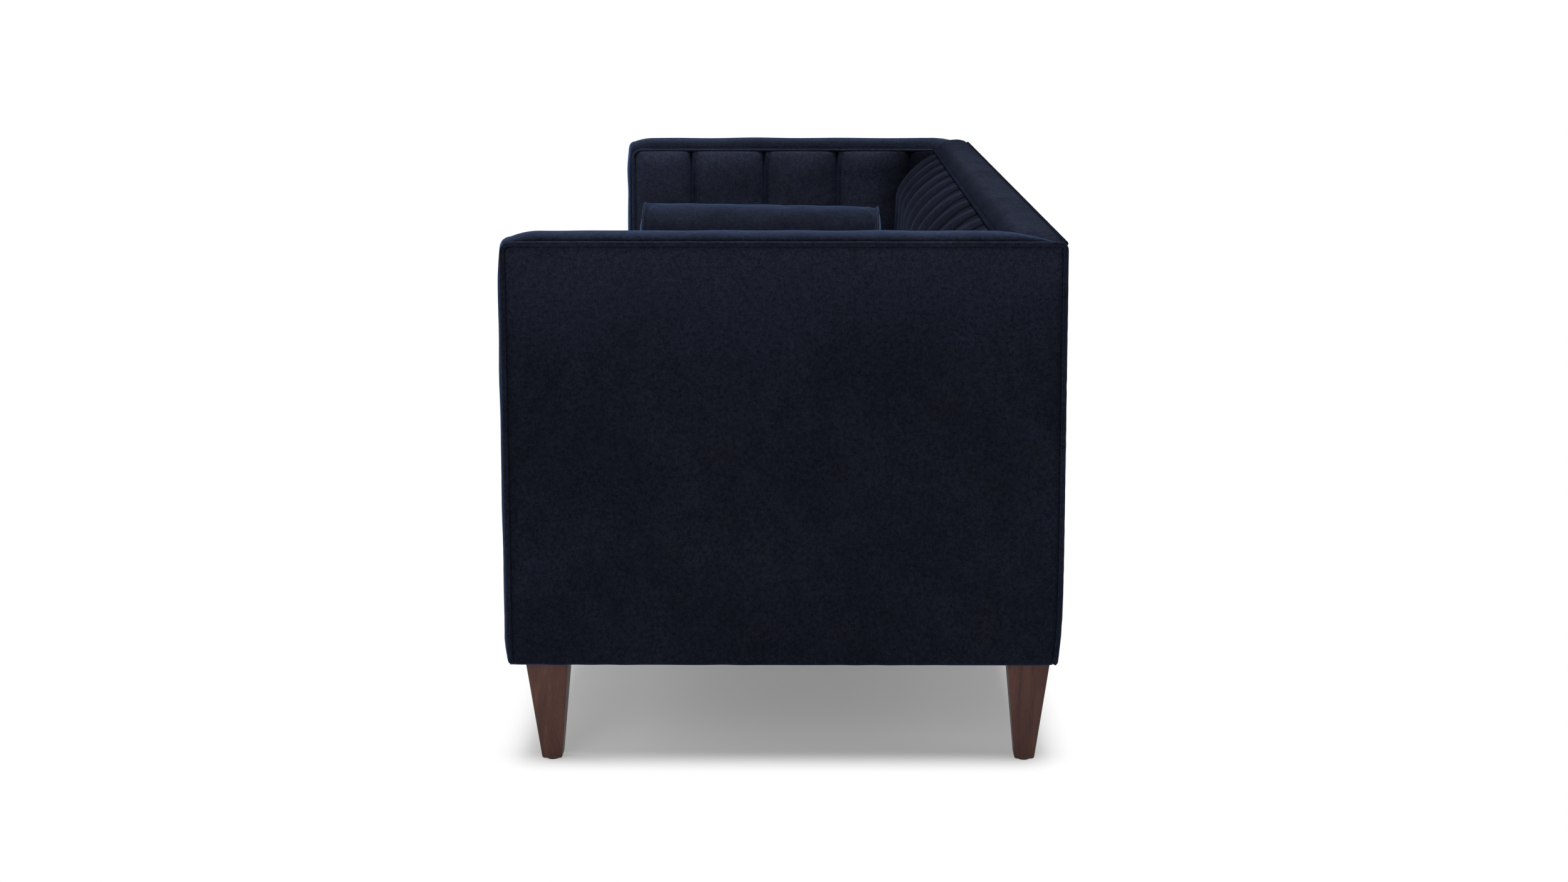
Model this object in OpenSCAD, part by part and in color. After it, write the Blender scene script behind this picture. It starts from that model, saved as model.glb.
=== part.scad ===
/* [Overall size] */
// Width over the welts of the outside arms
sofa_w = 2134; // [2010:2:2200]
// Depth from the swell of the front padding to the rear welts
sofa_d = 838; // [820:2:860]
// Height of the arms and the back, which are level
sofa_h = 810; // [780:2:840]
// Height of the underside of the body above the floor
leg_h = 160; // [130:2:180]

/* [Arms] */
// Thickness of an arm, from its outside welt to its inner seam
arm_t = 83.5; // [80:0.5:95]
// Swell of the top bands over their seams
band_swell = 15; // [8:1:18]
// Swell of the front bands over their seams
front_swell = 11; // [8:1:18]
// Swell of the upright channels inside the arms
arm_channel_swell = 24; // [8:1:26]
// Width of the front channel inside an arm
arm_first_channel = 137; // [100:1:160]
// Width of each other channel inside an arm
arm_channel_w = 177; // [160:1:180]

/* [Back] */
// Upright channels across the inside back
back_channels = 12; // [8:1:16]
// Swell of a back channel over its seams
back_channel_swell = 15; // [6:1:20]
// Depth of the back padding that rolls away at the top
back_roll = 102; // [80:1:110]

/* [Seat] */
// Height of the deck that the cushion lies on
deck_h = 306; // [290:1:320]
// Height of the seat cushion at its edges
cushion_t = 145; // [110:1:160]
// Swell of the seat cushion over its edges
cushion_swell = 22; // [8:1:30]
// Number of seat springs
spring_count = 12; // [6:2:12]

/* [Bolsters] */
// Radius of a bolster at its middle
bolster_r = 100; // [80:1:105]
// Length of a bolster between its welts
bolster_l = 550; // [450:1:560]

/* [Legs] */
// Width of a leg at its top
leg_top = 64; // [50:1:66]
// Width of a leg at its foot
leg_foot = 30; // [24:1:40]

/* [Hidden] */

velvet = [0.09, 0.11, 0.17];
velvet_top = [0.17, 0.22, 0.32];
walnut = [0.29, 0.19, 0.17];
frame_wood = [0.80, 0.66, 0.47];
steel = [0.62, 0.63, 0.65];
brass = [0.80, 0.66, 0.32];
foam = [0.93, 0.90, 0.78];
black_cloth = [0.06, 0.06, 0.07];

// Welts
welt_r = 3.25;
inner_welt_r = 3;
seam_gap = 0.2;
front_corner_r = 12;
rear_corner_r = 8;
inner_corner_r = 20;

// Planes across the sofa, measured out from its middle
half_w = sofa_w/2;
outer_welt_x = half_w - welt_r;
panel_face_x = half_w - 3;
panel_t = 6;
frame_x = panel_face_x - panel_t;
arm_wood_t = 57;
arm_inner_x = frame_x - arm_wood_t;
web_t = 1.5;
arm_pad_back_x = arm_inner_x - web_t;
band_out_x = outer_welt_x - welt_r;
band_in_x = half_w - arm_t;
inner_welt_x = band_in_x - inner_welt_r;
arm_seam_x = band_in_x + 0.5;
arm_swell_x = arm_seam_x - arm_channel_swell;

// Planes from front to back
front_seam_y = front_swell - sofa_d/2;
rear_welt_y = sofa_d/2 - welt_r;
back_panel_y = rear_welt_y - 4.75;
back_wood_t = 58;
back_inner_y = back_panel_y - back_wood_t;
back_pad_back_y = back_inner_y - web_t;
band_rear_y = rear_welt_y - welt_r;
band_inner_y = band_rear_y - 79.5;
back_inner_welt_y = band_inner_y - inner_welt_r;
band_base = 10;
front_wood_y = front_seam_y + band_base;
inner_welt_front_y = front_wood_y - inner_welt_r - 0.5;
rail_t = 28;

// Levels
seam_z = sofa_h - band_swell;
frame_z = leg_h + 4;
rail_top_z = seam_z - band_base;
inner_welt_z = rail_top_z - 1;
top_rail_t = 25;
post_top_z = rail_top_z - top_rail_t;
low_rail_h = 70;
stretcher_gap = 480;
stretcher_h = 40;
post_xs = [-500, 0, 500];
post_half_w = 22;
front_post_d = 45;
arm_tack_h = 36;
back_tack_h = 42;
post_foot_z = frame_z + low_rail_h;
spring_rail_z = deck_h - 26;
deck_t = 16;
back_tack_z = deck_h + 24;

// Band crown: an inner edge that lies lower than the outer, and a swell between them that is lost at a mitre
mitre_sink = 12;
top_edge_drop = 9;
front_edge_drop = 3;
band_lines = [0.06, 0.2, 0.35, 0.5, 0.65, 0.8, 0.94];
band_edge_u = 0.01;
band_base_u = 0.04;
inner_edge_r = 23;
near_steps = [3, 12, 30, 60];

// Webbing behind the padding
web_w = 50;
back_web_zs = [430, 540, 650];
arm_web_zs = [450, 620];

// Padding of the inside back and arms
pad_top_z = rail_top_z - 5;
pad_lip = 4.8;
roll_h = 100;
roll_y = band_inner_y + 3 - back_roll;
back_rake = 0.07;
steps = 6;
arm_pad_front_y = front_wood_y + seam_gap;
back_pad_half_w = arm_swell_x - 0.5;
back_channel_w = 2*back_pad_half_w/back_channels;
arm_roll_h = 48;

// Deck under the cushion, and the lip of the front border that meets it
deck_margin = 8;
lip_rear_y = front_wood_y + 52;
lip_z = deck_h - deck_t;
border_face_y = front_seam_y - 2;
border_round_r = 12;

// Seat cushion, its middle and its half lengths to the seams
cushion_gap = 0.4;
cushion_bottom_z = deck_h + cushion_gap;
cushion_y = -100;
cushion_half_w = arm_swell_x - 10;
cushion_half_d = 297;
cushion_corner_r = 25;
cushion_welt_r = 2.5;
cushion_pitch = 0.0164;
cushion_drawn_in = 5;
boxing_bulge = 3;
foot_rise = 6;
core_wrap = 22;
core_low = [-cushion_half_w + core_wrap, cushion_y - cushion_half_d + core_wrap, cushion_bottom_z + 14];
core_high = [cushion_half_w - core_wrap, cushion_y + cushion_half_d - core_wrap, deck_h + cushion_t - 12];
cushion_xs = [0, 250, 500, 700, 800, 850, 890];
cushion_turn = 30;
crown_lines = [0.96, 0.85, 0.6, 0.2, -0.2, -0.6, -0.85, -0.96];

// Bolsters
bolster_x = arm_swell_x - bolster_r - 4;
bolster_y = -88;
bolster_end_r = bolster_r - 3;
bolster_wrap = 12;
bolster_dome = 9;
core_half_l = bolster_l/2 - bolster_wrap;
bolster_core_r = bolster_end_r - bolster_wrap;

// Springs
spring_pitch_x = 154;
spring_wire_r = 1.9;
spring_w = 50;
spring_front_y = -376;
spring_bars = 18;
bar_step = 36;
spring_rear_y = spring_front_y + (spring_bars - 1)*bar_step;
clip_half_w = 9;
clip_t = 2;
spring_z = spring_rail_z + clip_t + spring_wire_r;
tied_bars = [6, 11];
tie_wire_r = 1.5;

// Legs and their fixings
leg_inset = 16;
leg_x = half_w - leg_inset - leg_top/2;
leg_front_y = 1.0 - sofa_d/2 + leg_top/2 + leg_inset + 16;
leg_rear_y = sofa_d/2 - leg_inset - leg_top/2 - 0.5;
leg_lean = 3.5;
glide_h = 6;
leg_chamfer = 1.5;
leg_clear = leg_top/2 + 1;
bolt_r = 4;
bolt_hole_r = 4.1;
bolt_low_z = frame_z - 45;
bolt_top_z = frame_z + 22;
insert_r = 6;
insert_hole_r = 6.1;
insert_h = 25;
block_leg = 90;
block_low_z = frame_z + 6;
block_h = 58;
screw_r = 2.5;
screw_hole_r = 2.6;
screw_l = 60;
screw_reach = 18;
screw_aside = 30;

$fn = 48;

function flip(list) = [for (i = [len(list) - 1:-1:0]) list[i]];

// Swell between two seams, where u runs from 0 to 1 across the panel
function swell(u, power) = 1 - pow(abs(2*u - 1), power);

// Dip that a swell makes as it nears a seam or a corner
function sink(d, drop, reach) = drop*pow(max(0, 1 - d/reach), 2);

// Triangles of a skin over rings of n points, with a cap at each end
function skin_faces(rings, n) = concat(
    [[for (k = [n:-1:1]) k%n]],
    [for (i = [0:rings - 2], k = [0:n - 1], half = [0, 1])
        let (a = i*n + k, b = i*n + (k + 1)%n)
        half == 0 ? [a, b, b + n] : [a, b + n, a + n]],
    [[for (k = [0:n - 1]) (rings - 1)*n + k]]);

// Triangles of a tube whose last ring joins its first
function loop_faces(rings, n) = [
    for (i = [0:rings - 1], k = [0:n - 1], half = [0, 1])
        let (j = (i + 1)%rings, a = i*n + k, b = i*n + (k + 1)%n, c = j*n + k, d = j*n + (k + 1)%n)
        half == 0 ? [a, b, d] : [a, d, c]];

module skin(rings) {
    polyhedron(points = [for (ring = rings, p = ring) p], faces = skin_faces(len(rings), len(rings[0])));
}

// The left side is the right side mirrored
module on_side(side) {
    if (side > 0) children();
    else mirror([1, 0, 0]) children();
}

module block(low, high) {
    translate(low) cube(high - low);
}

// A cord that runs straight, turns through a quarter circle and runs on, in the plane of Y and Z
module cord_bend(r, corner, bend_r, turn) {
    translate(corner) rotate([0, 90, 0]) rotate([0, 0, turn]) rotate_extrude(angle = 90)
        translate([bend_r, 0]) circle(r);
}

module cord_along_x(r, x0, x1, y, z) {
    translate([x0, y, z]) rotate([0, 90, 0]) cylinder(r = r, h = x1 - x0);
}

module cord_along_y(r, x, y0, y1, z) {
    translate([x, y0, z]) rotate([-90, 0, 0]) cylinder(r = r, h = y1 - y0);
}

module cord_along_z(r, x, y, z0, z1) {
    translate([x, y, z0]) cylinder(r = r, h = z1 - z0);
}

// Frame

// Two screws through each corner block, one into each rail that it braces
module at_block_screws() {
    for (side = [-1, 1], end = [-1, 1]) {
        corner_y = end < 0 ? front_wood_y + rail_t : back_inner_y;
        translate([side*(arm_inner_x + screw_reach), corner_y - end*screw_aside, block_low_z + 40])
            rotate([0, -side*90, 0]) children();
        translate([side*(arm_inner_x - screw_aside), corner_y + end*screw_reach, block_low_z + 18])
            rotate([end*90, 0, 0]) children();
    }
}

module block_screw_holes() {
    at_block_screws() cylinder(r = screw_hole_r, h = 200);
}

module insert_holes() {
    at_legs() translate([0, 0, frame_z - 1]) cylinder(r = insert_hole_r, h = insert_h + 3);
}

module front_rail() {
    color(frame_wood) difference() {
        block([-arm_inner_x, front_wood_y, frame_z], [arm_inner_x, front_wood_y + rail_t, spring_rail_z]);
        block_screw_holes();
    }
}

module rear_rail() {
    color(frame_wood) difference() {
        block([-frame_x, back_inner_y, frame_z], [frame_x, back_panel_y, post_foot_z]);
        block_screw_holes();
        insert_holes();
    }
}

module side_rail(side) {
    color(frame_wood) difference() {
        on_side(side) block([arm_inner_x, front_wood_y, frame_z], [frame_x, back_inner_y, post_foot_z]);
        block_screw_holes();
        insert_holes();
    }
}

module seat_back_rail() {
    color(frame_wood)
        block([-arm_inner_x, spring_rear_y - rail_t/2, frame_z + stretcher_h],
            [arm_inner_x, spring_rear_y + rail_t/2, spring_rail_z]);
}

module seat_stretchers() {
    color(frame_wood) for (i = [-1:1])
        translate([i*stretcher_gap, 0, 0])
            block([-post_half_w, front_wood_y + rail_t, frame_z],
                [post_half_w, back_inner_y, frame_z + stretcher_h]);
}

// Triangular braces in the corners of the seat frame
module corner_blocks() {
    color(frame_wood) difference() {
        for (side = [-1, 1], end = [-1, 1]) {
            corner_y = end < 0 ? front_wood_y + rail_t : back_inner_y;
            translate([0, 0, block_low_z]) linear_extrude(block_h) polygon([
                [side*arm_inner_x, corner_y],
                [side*(arm_inner_x - block_leg), corner_y],
                [side*arm_inner_x, corner_y - end*block_leg]
            ]);
        }
        block_screw_holes();
    }
}

module block_screws() {
    color(steel) at_block_screws() cylinder(r = screw_r, h = screw_l);
}

module arm_front_post(side) {
    color(frame_wood) on_side(side)
        block([arm_inner_x, front_wood_y, post_foot_z], [frame_x, front_wood_y + front_post_d, post_top_z]);
}

module back_corner_post(side) {
    color(frame_wood) on_side(side)
        block([arm_inner_x, back_inner_y, post_foot_z], [frame_x, back_panel_y, post_top_z]);
}

// The rail's front end is rounded over to carry the padding
module arm_top_rail(side) {
    color(frame_wood) on_side(side) difference() {
        block([arm_inner_x, front_wood_y, post_top_z], [frame_x, back_inner_y, rail_top_z]);
        translate([arm_inner_x - 1, front_wood_y + inner_corner_r, rail_top_z - inner_corner_r])
            difference() {
                block([0, -inner_corner_r - 1, 0], [arm_wood_t + 2, 0, inner_corner_r + 1]);
                rotate([0, 90, 0]) translate([0, 0, -1]) cylinder(r = inner_corner_r, h = arm_wood_t + 4);
            }
    }
}

module arm_tack_rail(side) {
    color(frame_wood) on_side(side)
        block([arm_inner_x, front_wood_y + front_post_d, deck_h],
            [arm_inner_x + rail_t, back_inner_y, deck_h + arm_tack_h]);
}

module back_top_rail() {
    color(frame_wood) block([-frame_x, back_inner_y, post_top_z], [frame_x, back_panel_y, rail_top_z]);
}

module back_posts() {
    color(frame_wood) for (x = post_xs)
        block([x - post_half_w, back_inner_y, post_foot_z], [x + post_half_w, back_panel_y, post_top_z]);
}

// Short rails between the back posts, which the padding is tacked to
module back_tack_rails() {
    ends = concat([-arm_inner_x - post_half_w], post_xs, [arm_inner_x + post_half_w]);
    color(frame_wood) for (i = [0:len(ends) - 2])
        block([ends[i] + post_half_w, back_inner_y, back_tack_z],
            [ends[i + 1] - post_half_w, back_inner_y + rail_t, back_tack_z + back_tack_h]);
}

// Springs

function bar_y(i) = spring_front_y + i*bar_step;

// One length of round wire bent to and fro: straight bars joined by half turns
module sinuous_spring() {
    bend_x = (spring_w - bar_step)/2;
    for (i = [0:spring_bars - 1])
        cord_along_x(spring_wire_r, -bend_x, bend_x, bar_y(i), spring_z);
    for (i = [0:spring_bars - 2]) {
        side = i%2 == 0 ? 1 : -1;
        translate([side*bend_x, bar_y(i) + bar_step/2, spring_z]) rotate([0, 0, -90*side])
            rotate_extrude(angle = 180) translate([bar_step/2, 0]) circle(spring_wire_r);
    }
}

module at_springs() {
    for (i = [0:spring_count - 1])
        translate([(i - (spring_count - 1)/2)*spring_pitch_x, 0, 0]) children();
}

module seat_springs() {
    color(steel) at_springs() sinuous_spring();
}

// Folded clips on the rails, each hooked over a spring's end bar
module spring_clips() {
    wire_top = clip_t + 2*spring_wire_r + 0.6;
    color(steel) at_springs() for (end = [0, spring_bars - 1])
        translate([-clip_half_w, bar_y(end), spring_rail_z]) rotate([90, 0, 90])
            linear_extrude(2*clip_half_w) polygon([
                [-9, 0],
                [9, 0],
                [9, clip_t],
                [-2.6, clip_t],
                [-2.6, wire_top],
                [2.6, wire_top],
                [2.6, wire_top + 1.5],
                [-4.2, wire_top + 1.5],
                [-4.2, clip_t],
                [-9, clip_t]
            ]);
}

// Two wires that tie the springs together across the seat
module spring_tie_wires() {
    half = (spring_count - 1)/2*spring_pitch_x + spring_w/2;
    color(steel) for (i = tied_bars)
        cord_along_x(tie_wire_r, -half, half, bar_y(i), spring_z + spring_wire_r + tie_wire_r);
}

// Webbing

module back_webbing() {
    color(black_cloth) for (z = back_web_zs)
        block([-arm_inner_x, back_pad_back_y, z - web_w/2], [arm_inner_x, back_inner_y, z + web_w/2]);
}

module arm_webbing(side) {
    color(black_cloth) on_side(side) for (z = arm_web_zs)
        block([arm_pad_back_x, front_wood_y, z - web_w/2], [arm_inner_x, back_pad_back_y, z + web_w/2]);
}

// Padding and covers

module deck_pad() {
    color(black_cloth) block([-cushion_half_w - deck_margin, lip_rear_y, lip_z],
        [cushion_half_w + deck_margin, spring_rear_y + rail_t/2, deck_h]);
}

// Padded front of the seat, which rolls over the front rail as far as the deck
module front_border() {
    color(velvet) translate([band_in_x - 0.5, 0, 0]) rotate([90, 0, -90])
        linear_extrude(2*band_in_x - 1) polygon(concat(
            [
                [-front_wood_y, leg_h],
                [-border_face_y - 2, leg_h],
                [-border_face_y, leg_h + 3]
            ],
            [for (a = [0:15:90])
                [-border_face_y + border_round_r*(cos(a) - 1), deck_h + border_round_r*(sin(a) - 1)]],
            [
                [-lip_rear_y, deck_h],
                [-lip_rear_y, lip_z],
                [-front_wood_y, lip_z]
            ]));
}

// How far the front of the back padding lies from its tacked edge, at height z
function back_roll_at(z) =
    let (t = max(0, min(1, (z - pad_top_z + roll_h)/roll_h)))
    back_roll*(1 - pow(1 - pow(t, 1.5), 2/3));
function back_rake_at(z) = -back_rake*max(0, pad_top_z - roll_h - z);
function back_fade(z) = 1 - pow(max(0, min(1, (z - pad_top_z + roll_h)/roll_h)), 3);
function back_face_y(z, c) = roll_y + back_rake_at(z) + back_roll_at(z)
    + back_channel_swell*(1 - swell(c, 2.2))*back_fade(z);

back_levels = [0, 4, 12, 26, 44, 64, 84, 104, 170, 300];

// Channelled padding of the inside back, raked, and rolled away under the top band
module back_pad() {
    columns = back_channels*steps;
    color(velvet) skin([for (i = [0:columns])
        let (x = back_pad_half_w - i*back_channel_w/steps, c = (i%steps)/steps)
        concat(
            [
                [x, back_pad_back_y, deck_h + seam_gap],
                [x, back_pad_back_y, pad_top_z + pad_lip]
            ],
            [for (d = back_levels) [x, back_face_y(pad_top_z - d, c), pad_top_z - d]],
            [[x, back_face_y(deck_h, c), deck_h + seam_gap]])]);
}

// Share of the way across its channel at y, from the arm padding's front; the last channel is cut short
function arm_channel_at(y) =
    y < arm_pad_front_y + arm_first_channel
        ? (y - arm_pad_front_y)/arm_first_channel
        : ((y - arm_pad_front_y - arm_first_channel)/arm_channel_w)%1;
function arm_top_at(y) =
    let (d = max(0, arm_pad_front_y + inner_corner_r - y))
    pad_top_z - inner_corner_r + sqrt(max(0, inner_corner_r*inner_corner_r - d*d));
function arm_face_x(y, drop) =
    arm_seam_x - arm_channel_swell*swell(arm_channel_at(y), 2.4)
    *sqrt(1 - pow(max(0, 1 - drop/arm_roll_h), 2));

arm_columns = concat(
    [for (i = [0:steps]) arm_pad_front_y + i*arm_first_channel/steps],
    [for (i = [1:3*steps + 2]) arm_pad_front_y + arm_first_channel + i*arm_channel_w/steps]);
arm_levels = [0, 2, 6, 14, 26, 48, 110, 220, 340];

// Channelled padding inside an arm, with domed channel tops and a round front corner
module arm_pad(side) {
    color(velvet) on_side(side) skin([for (y = arm_columns)
        let (top = arm_top_at(y))
        concat(
            [
                [arm_pad_back_x, y, deck_h + seam_gap],
                [arm_pad_back_x, y, top + pad_lip]
            ],
            [for (d = arm_levels) [arm_face_x(y, d), y, top - d]],
            [[arm_face_x(y, 400), y, deck_h + seam_gap]])]);
}

// Points of a band line at share u across the band, with its swell h; outer edge first
function band_x(u) = band_out_x - u*(band_out_x - band_in_x);
function mitre_y(u) = band_rear_y - u*(band_rear_y - band_inner_y);
function inset_at(u, h, drop) = drop*pow(max(0, 2*u - 1), 1.5) - h*pow(swell(u, 2.6), 0.6);
function top_inset(u, h) = inset_at(u, h, top_edge_drop);
function front_inset(u, h) = inset_at(u, h, front_edge_drop);
function line_r(u) = front_corner_r + (inner_edge_r - front_corner_r)*pow(u, 3);

// Stations along an arm band: [part, distance, swell], from the foot of the front to the rear mitre
corner_front_swell = front_swell - 4.4;
corner_top_swell = band_swell - 9;
arm_stations = concat(
    [for (d = concat([0], near_steps)) ["foot", d, 5 + (front_swell - 5)*pow(min(1, d/30), 0.6)]],
    [["foot", 300, front_swell]],
    [for (d = concat(flip(near_steps), [0])) ["shoulder", d, front_swell - sink(d, 4.4, 60)]],
    [for (a = [30, 60]) ["corner", a, 0]],
    [for (d = concat([0], near_steps)) ["top", d, band_swell - sink(d, 9, 45)]],
    [["top", 300, band_swell], ["top", 500, band_swell]],
    [for (d = concat(flip(near_steps), [0])) ["mitre", d, band_swell - sink(d, mitre_sink, 60)]]);

// A point of the arm band; a base line has no swell and stays on the wood
function arm_band_point(station, u, x, inset, r) =
    let (
        part = station[0],
        d = station[1],
        f = inset >= 0 ? inset : front_inset(u, part == "foot" || part == "shoulder"
            ? station[2] : corner_front_swell),
        t = inset >= 0 ? inset : top_inset(u, part == "top" || part == "mitre"
            ? station[2] : corner_top_swell)
    )
    part == "foot" ? [x, front_seam_y + f, leg_h + d]
    : part == "shoulder" ? [x, front_seam_y + f, seam_z - t - r - d]
    : part == "corner" ? [x, front_seam_y + f + r*(1 - cos(d)), seam_z - t - r*(1 - sin(d))]
    : part == "top" ? [x, front_seam_y + f + r + d, seam_z - t]
    : [x, mitre_y(u) - d, seam_z - t];

function arm_band_ring(s) = concat(
    [
        arm_band_point(s, band_base_u, band_x(band_base_u), band_base, 2),
        arm_band_point(s, band_base_u, band_x(band_base_u), 3.2, 9),
        arm_band_point(s, band_edge_u, band_x(band_edge_u), 0, front_corner_r)
    ],
    [for (u = band_lines) arm_band_point(s, u, band_x(u), -1, line_r(u))],
    [
        arm_band_point(s, 1, band_in_x, -1, inner_edge_r),
        arm_band_point(s, 1, band_in_x, band_base, inner_corner_r)
    ]);

// Padded band up the front of an arm and along its top, swelling between its two seams
module arm_band(side) {
    color(velvet_top) on_side(side) skin([for (s = arm_stations) arm_band_ring(s)]);
}

back_stations = concat(
    [for (d = concat([0], near_steps)) [1, d, band_swell - sink(d, mitre_sink, 60)]],
    [for (x = [600, 300, 0, -300, -600]) [0, x, band_swell]],
    [for (d = concat(flip(near_steps), [0])) [-1, d, band_swell - sink(d, mitre_sink, 60)]]);

function back_band_point(s, u, y, z) = [s[0] == 0 ? s[1] : s[0]*(band_x(u) - s[1]), y, z];
function back_band_ring(s) = concat(
    [
        back_band_point(s, band_base_u, mitre_y(band_base_u), rail_top_z),
        back_band_point(s, band_base_u, mitre_y(band_base_u), seam_z - 3.2),
        back_band_point(s, band_edge_u, mitre_y(band_edge_u), seam_z)
    ],
    [for (u = band_lines) back_band_point(s, u, mitre_y(u), seam_z - top_inset(u, s[2]))],
    [
        back_band_point(s, 1, band_inner_y, seam_z - top_edge_drop),
        back_band_point(s, 1, band_inner_y, rail_top_z)
    ]);

// Padded band along the top of the back, mitred into the arm bands
module back_band() {
    color(velvet_top) skin([for (s = back_stations) back_band_ring(s)]);
}

// Flat outside of an arm, inside the line of its welt
module outside_arm(side) {
    edge = welt_r + seam_gap;
    y0 = front_seam_y + edge;
    y1 = rear_welt_y - edge;
    z1 = seam_z - edge;
    r0 = front_corner_r - edge;
    r1 = rear_corner_r - edge;
    color(velvet) on_side(side) translate([frame_x, 0, 0]) rotate([90, 0, 90])
        linear_extrude(panel_t) polygon(concat(
            [[y0 + 3, leg_h], [y0, leg_h + 4]],
            [for (a = [180:-15:90]) [y0 + r0 + r0*cos(a), z1 - r0 + r0*sin(a)]],
            [for (a = [90:-15:0]) [y1 - r1 + r1*cos(a), z1 - r1 + r1*sin(a)]],
            [[y1, leg_h + 6], [y1 - 6, leg_h]]));
}

// Outside back: fullest just under its top seam, drawn in a little towards its foot
module outside_back() {
    half = frame_x - seam_gap;
    top_z = seam_z - welt_r - seam_gap;
    face = rear_welt_y + 2;
    color(velvet) translate([-half, 0, 0]) rotate([90, 0, 90]) linear_extrude(2*half) polygon([
        [back_panel_y, leg_h],
        [face - 5.5, leg_h],
        [face - 4, leg_h + 5],
        [face - 2.2, leg_h + 40],
        [face - 1, 420],
        [face, 640],
        [face, top_z - 30],
        [face - 0.8, top_z - 6],
        [face - 3, top_z],
        [back_panel_y, top_z]
    ]);
}

// Black cloth tacked under the frame, cut round the legs
module dust_cover() {
    color(black_cloth) difference() {
        block([-frame_x + 3, front_wood_y + 3, frame_z - 1], [frame_x - 3, back_panel_y - 3, frame_z]);
        at_legs() block([-leg_clear, -leg_clear, frame_z - 2], [leg_clear, leg_clear, frame_z + 2]);
    }
}

// Welt round the outside of an arm: up the front, along the top and down the rear
module outer_welt(side) {
    top_front_y = front_seam_y + front_corner_r;
    top_rear_y = rear_welt_y - rear_corner_r;
    color(velvet_top) on_side(side) {
        cord_along_z(welt_r, outer_welt_x, front_seam_y, leg_h + 2, seam_z - front_corner_r);
        cord_bend(welt_r, [outer_welt_x, top_front_y, seam_z - front_corner_r], front_corner_r, 180);
        cord_along_y(welt_r, outer_welt_x, top_front_y, top_rear_y, seam_z);
        cord_bend(welt_r, [outer_welt_x, top_rear_y, seam_z - rear_corner_r], rear_corner_r, 90);
        cord_along_z(welt_r, outer_welt_x, rear_welt_y, leg_h + 6, seam_z - rear_corner_r);
    }
}

// Welt round the channelled padding inside an arm
module inner_welt(side) {
    r = inner_corner_r;
    bend_y = inner_welt_front_y + r;
    color(velvet_top) on_side(side) {
        cord_along_z(inner_welt_r, inner_welt_x, inner_welt_front_y, deck_h + 1, inner_welt_z - r);
        cord_bend(inner_welt_r, [inner_welt_x, bend_y, inner_welt_z - r], r, 180);
        cord_along_y(inner_welt_r, inner_welt_x, bend_y, back_inner_welt_y - inner_welt_r - seam_gap,
            inner_welt_z);
    }
}

module back_outer_welt() {
    color(velvet_top)
        cord_along_x(welt_r, -band_out_x + seam_gap, band_out_x - seam_gap, rear_welt_y, seam_z);
}

module back_inner_welt() {
    color(velvet_top)
        cord_along_x(inner_welt_r, -inner_welt_x, inner_welt_x, back_inner_welt_y, inner_welt_z);
}

// Seat cushion

// Half depth of the cushion at x, round at its corners and drawn in between them
function cushion_depth_at(x) =
    let (over = max(0, abs(x) - cushion_half_w + cushion_corner_r))
    cushion_half_d - cushion_corner_r + sqrt(max(0, pow(cushion_corner_r, 2) - over*over))
    - cushion_drawn_in*(1 - pow(min(1, abs(x)/(cushion_half_w - cushion_corner_r)), 4));
function cushion_edge_z(y) = deck_h + cushion_t - cushion_pitch*(y - cushion_y);
function cushion_top_z(x, y) =
    let (v = min(1, abs(y - cushion_y)/cushion_depth_at(x)))
    cushion_edge_z(y) + cushion_swell*(1 - pow(abs(x)/cushion_half_w, 8))*(1 - pow(v, 8));

function cushion_side(x, end) =
    let (y = cushion_y + end*cushion_depth_at(x), low = cushion_bottom_z + foot_rise)
    [for (w = [0, 0.35, 0.65, 1])
        [x, y + end*boxing_bulge*4*w*(1 - w), low + w*(cushion_edge_z(y) - low)]];

// Level of the underside at x, which rises nearly to the lower seam at both ends
function cushion_low_z(x) = cushion_bottom_z + 0.9*foot_rise*max(0, 1 - (cushion_half_w - abs(x))/8);

function cushion_ring(x) =
    let (depth = cushion_depth_at(x))
    concat(
        [[x, cushion_y + depth - 8, cushion_low_z(x)]],
        cushion_side(x, 1),
        [for (v = crown_lines) [x, cushion_y + v*depth, cushion_top_z(x, cushion_y + v*depth)]],
        flip(cushion_side(x, -1)),
        [[x, cushion_y - depth + 8, cushion_low_z(x)]]);

// Cover and wadding of the bench cushion, hollow where its foam core lies
module seat_cushion_cover() {
    ends = [for (a = [90:-cushion_turn:0]) cushion_half_w - cushion_corner_r*(1 - sin(a))];
    xs = concat(ends, flip([for (x = cushion_xs) if (x > 0) x]));
    color(velvet_top) difference() {
        skin([for (x = concat(xs, [0], [for (x = flip(xs)) -x])) cushion_ring(x)]);
        block(core_low, core_high);
    }
}

module seat_cushion_core() {
    gap = [0.5, 0.5, 0.5];
    color(foam) block(core_low + gap, core_high - gap);
}

// Outline of the cushion's seams, counter-clockwise from its front right corner
function cushion_corner(sx, sy) = [for (a = [0:cushion_turn:90])
    let (
        x = cushion_half_w - cushion_corner_r*(1 - cos(a)),
        y = cushion_half_d - cushion_corner_r*(1 - sin(a))
    )
    [sx*x, cushion_y + sy*y]];
function cushion_edge_line(sy, xs) = [for (x = xs) [x, cushion_y + sy*cushion_depth_at(x)]];
long_xs = concat(flip(cushion_xs), [for (x = cushion_xs) if (x > 0) -x]);
cushion_outline = concat(
    cushion_corner(1, 1),
    cushion_edge_line(1, long_xs),
    flip(cushion_corner(-1, 1)),
    [[-cushion_half_w, cushion_y]],
    cushion_corner(-1, -1),
    cushion_edge_line(-1, flip(long_xs)),
    flip(cushion_corner(1, -1)),
    [[cushion_half_w, cushion_y]]);

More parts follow.
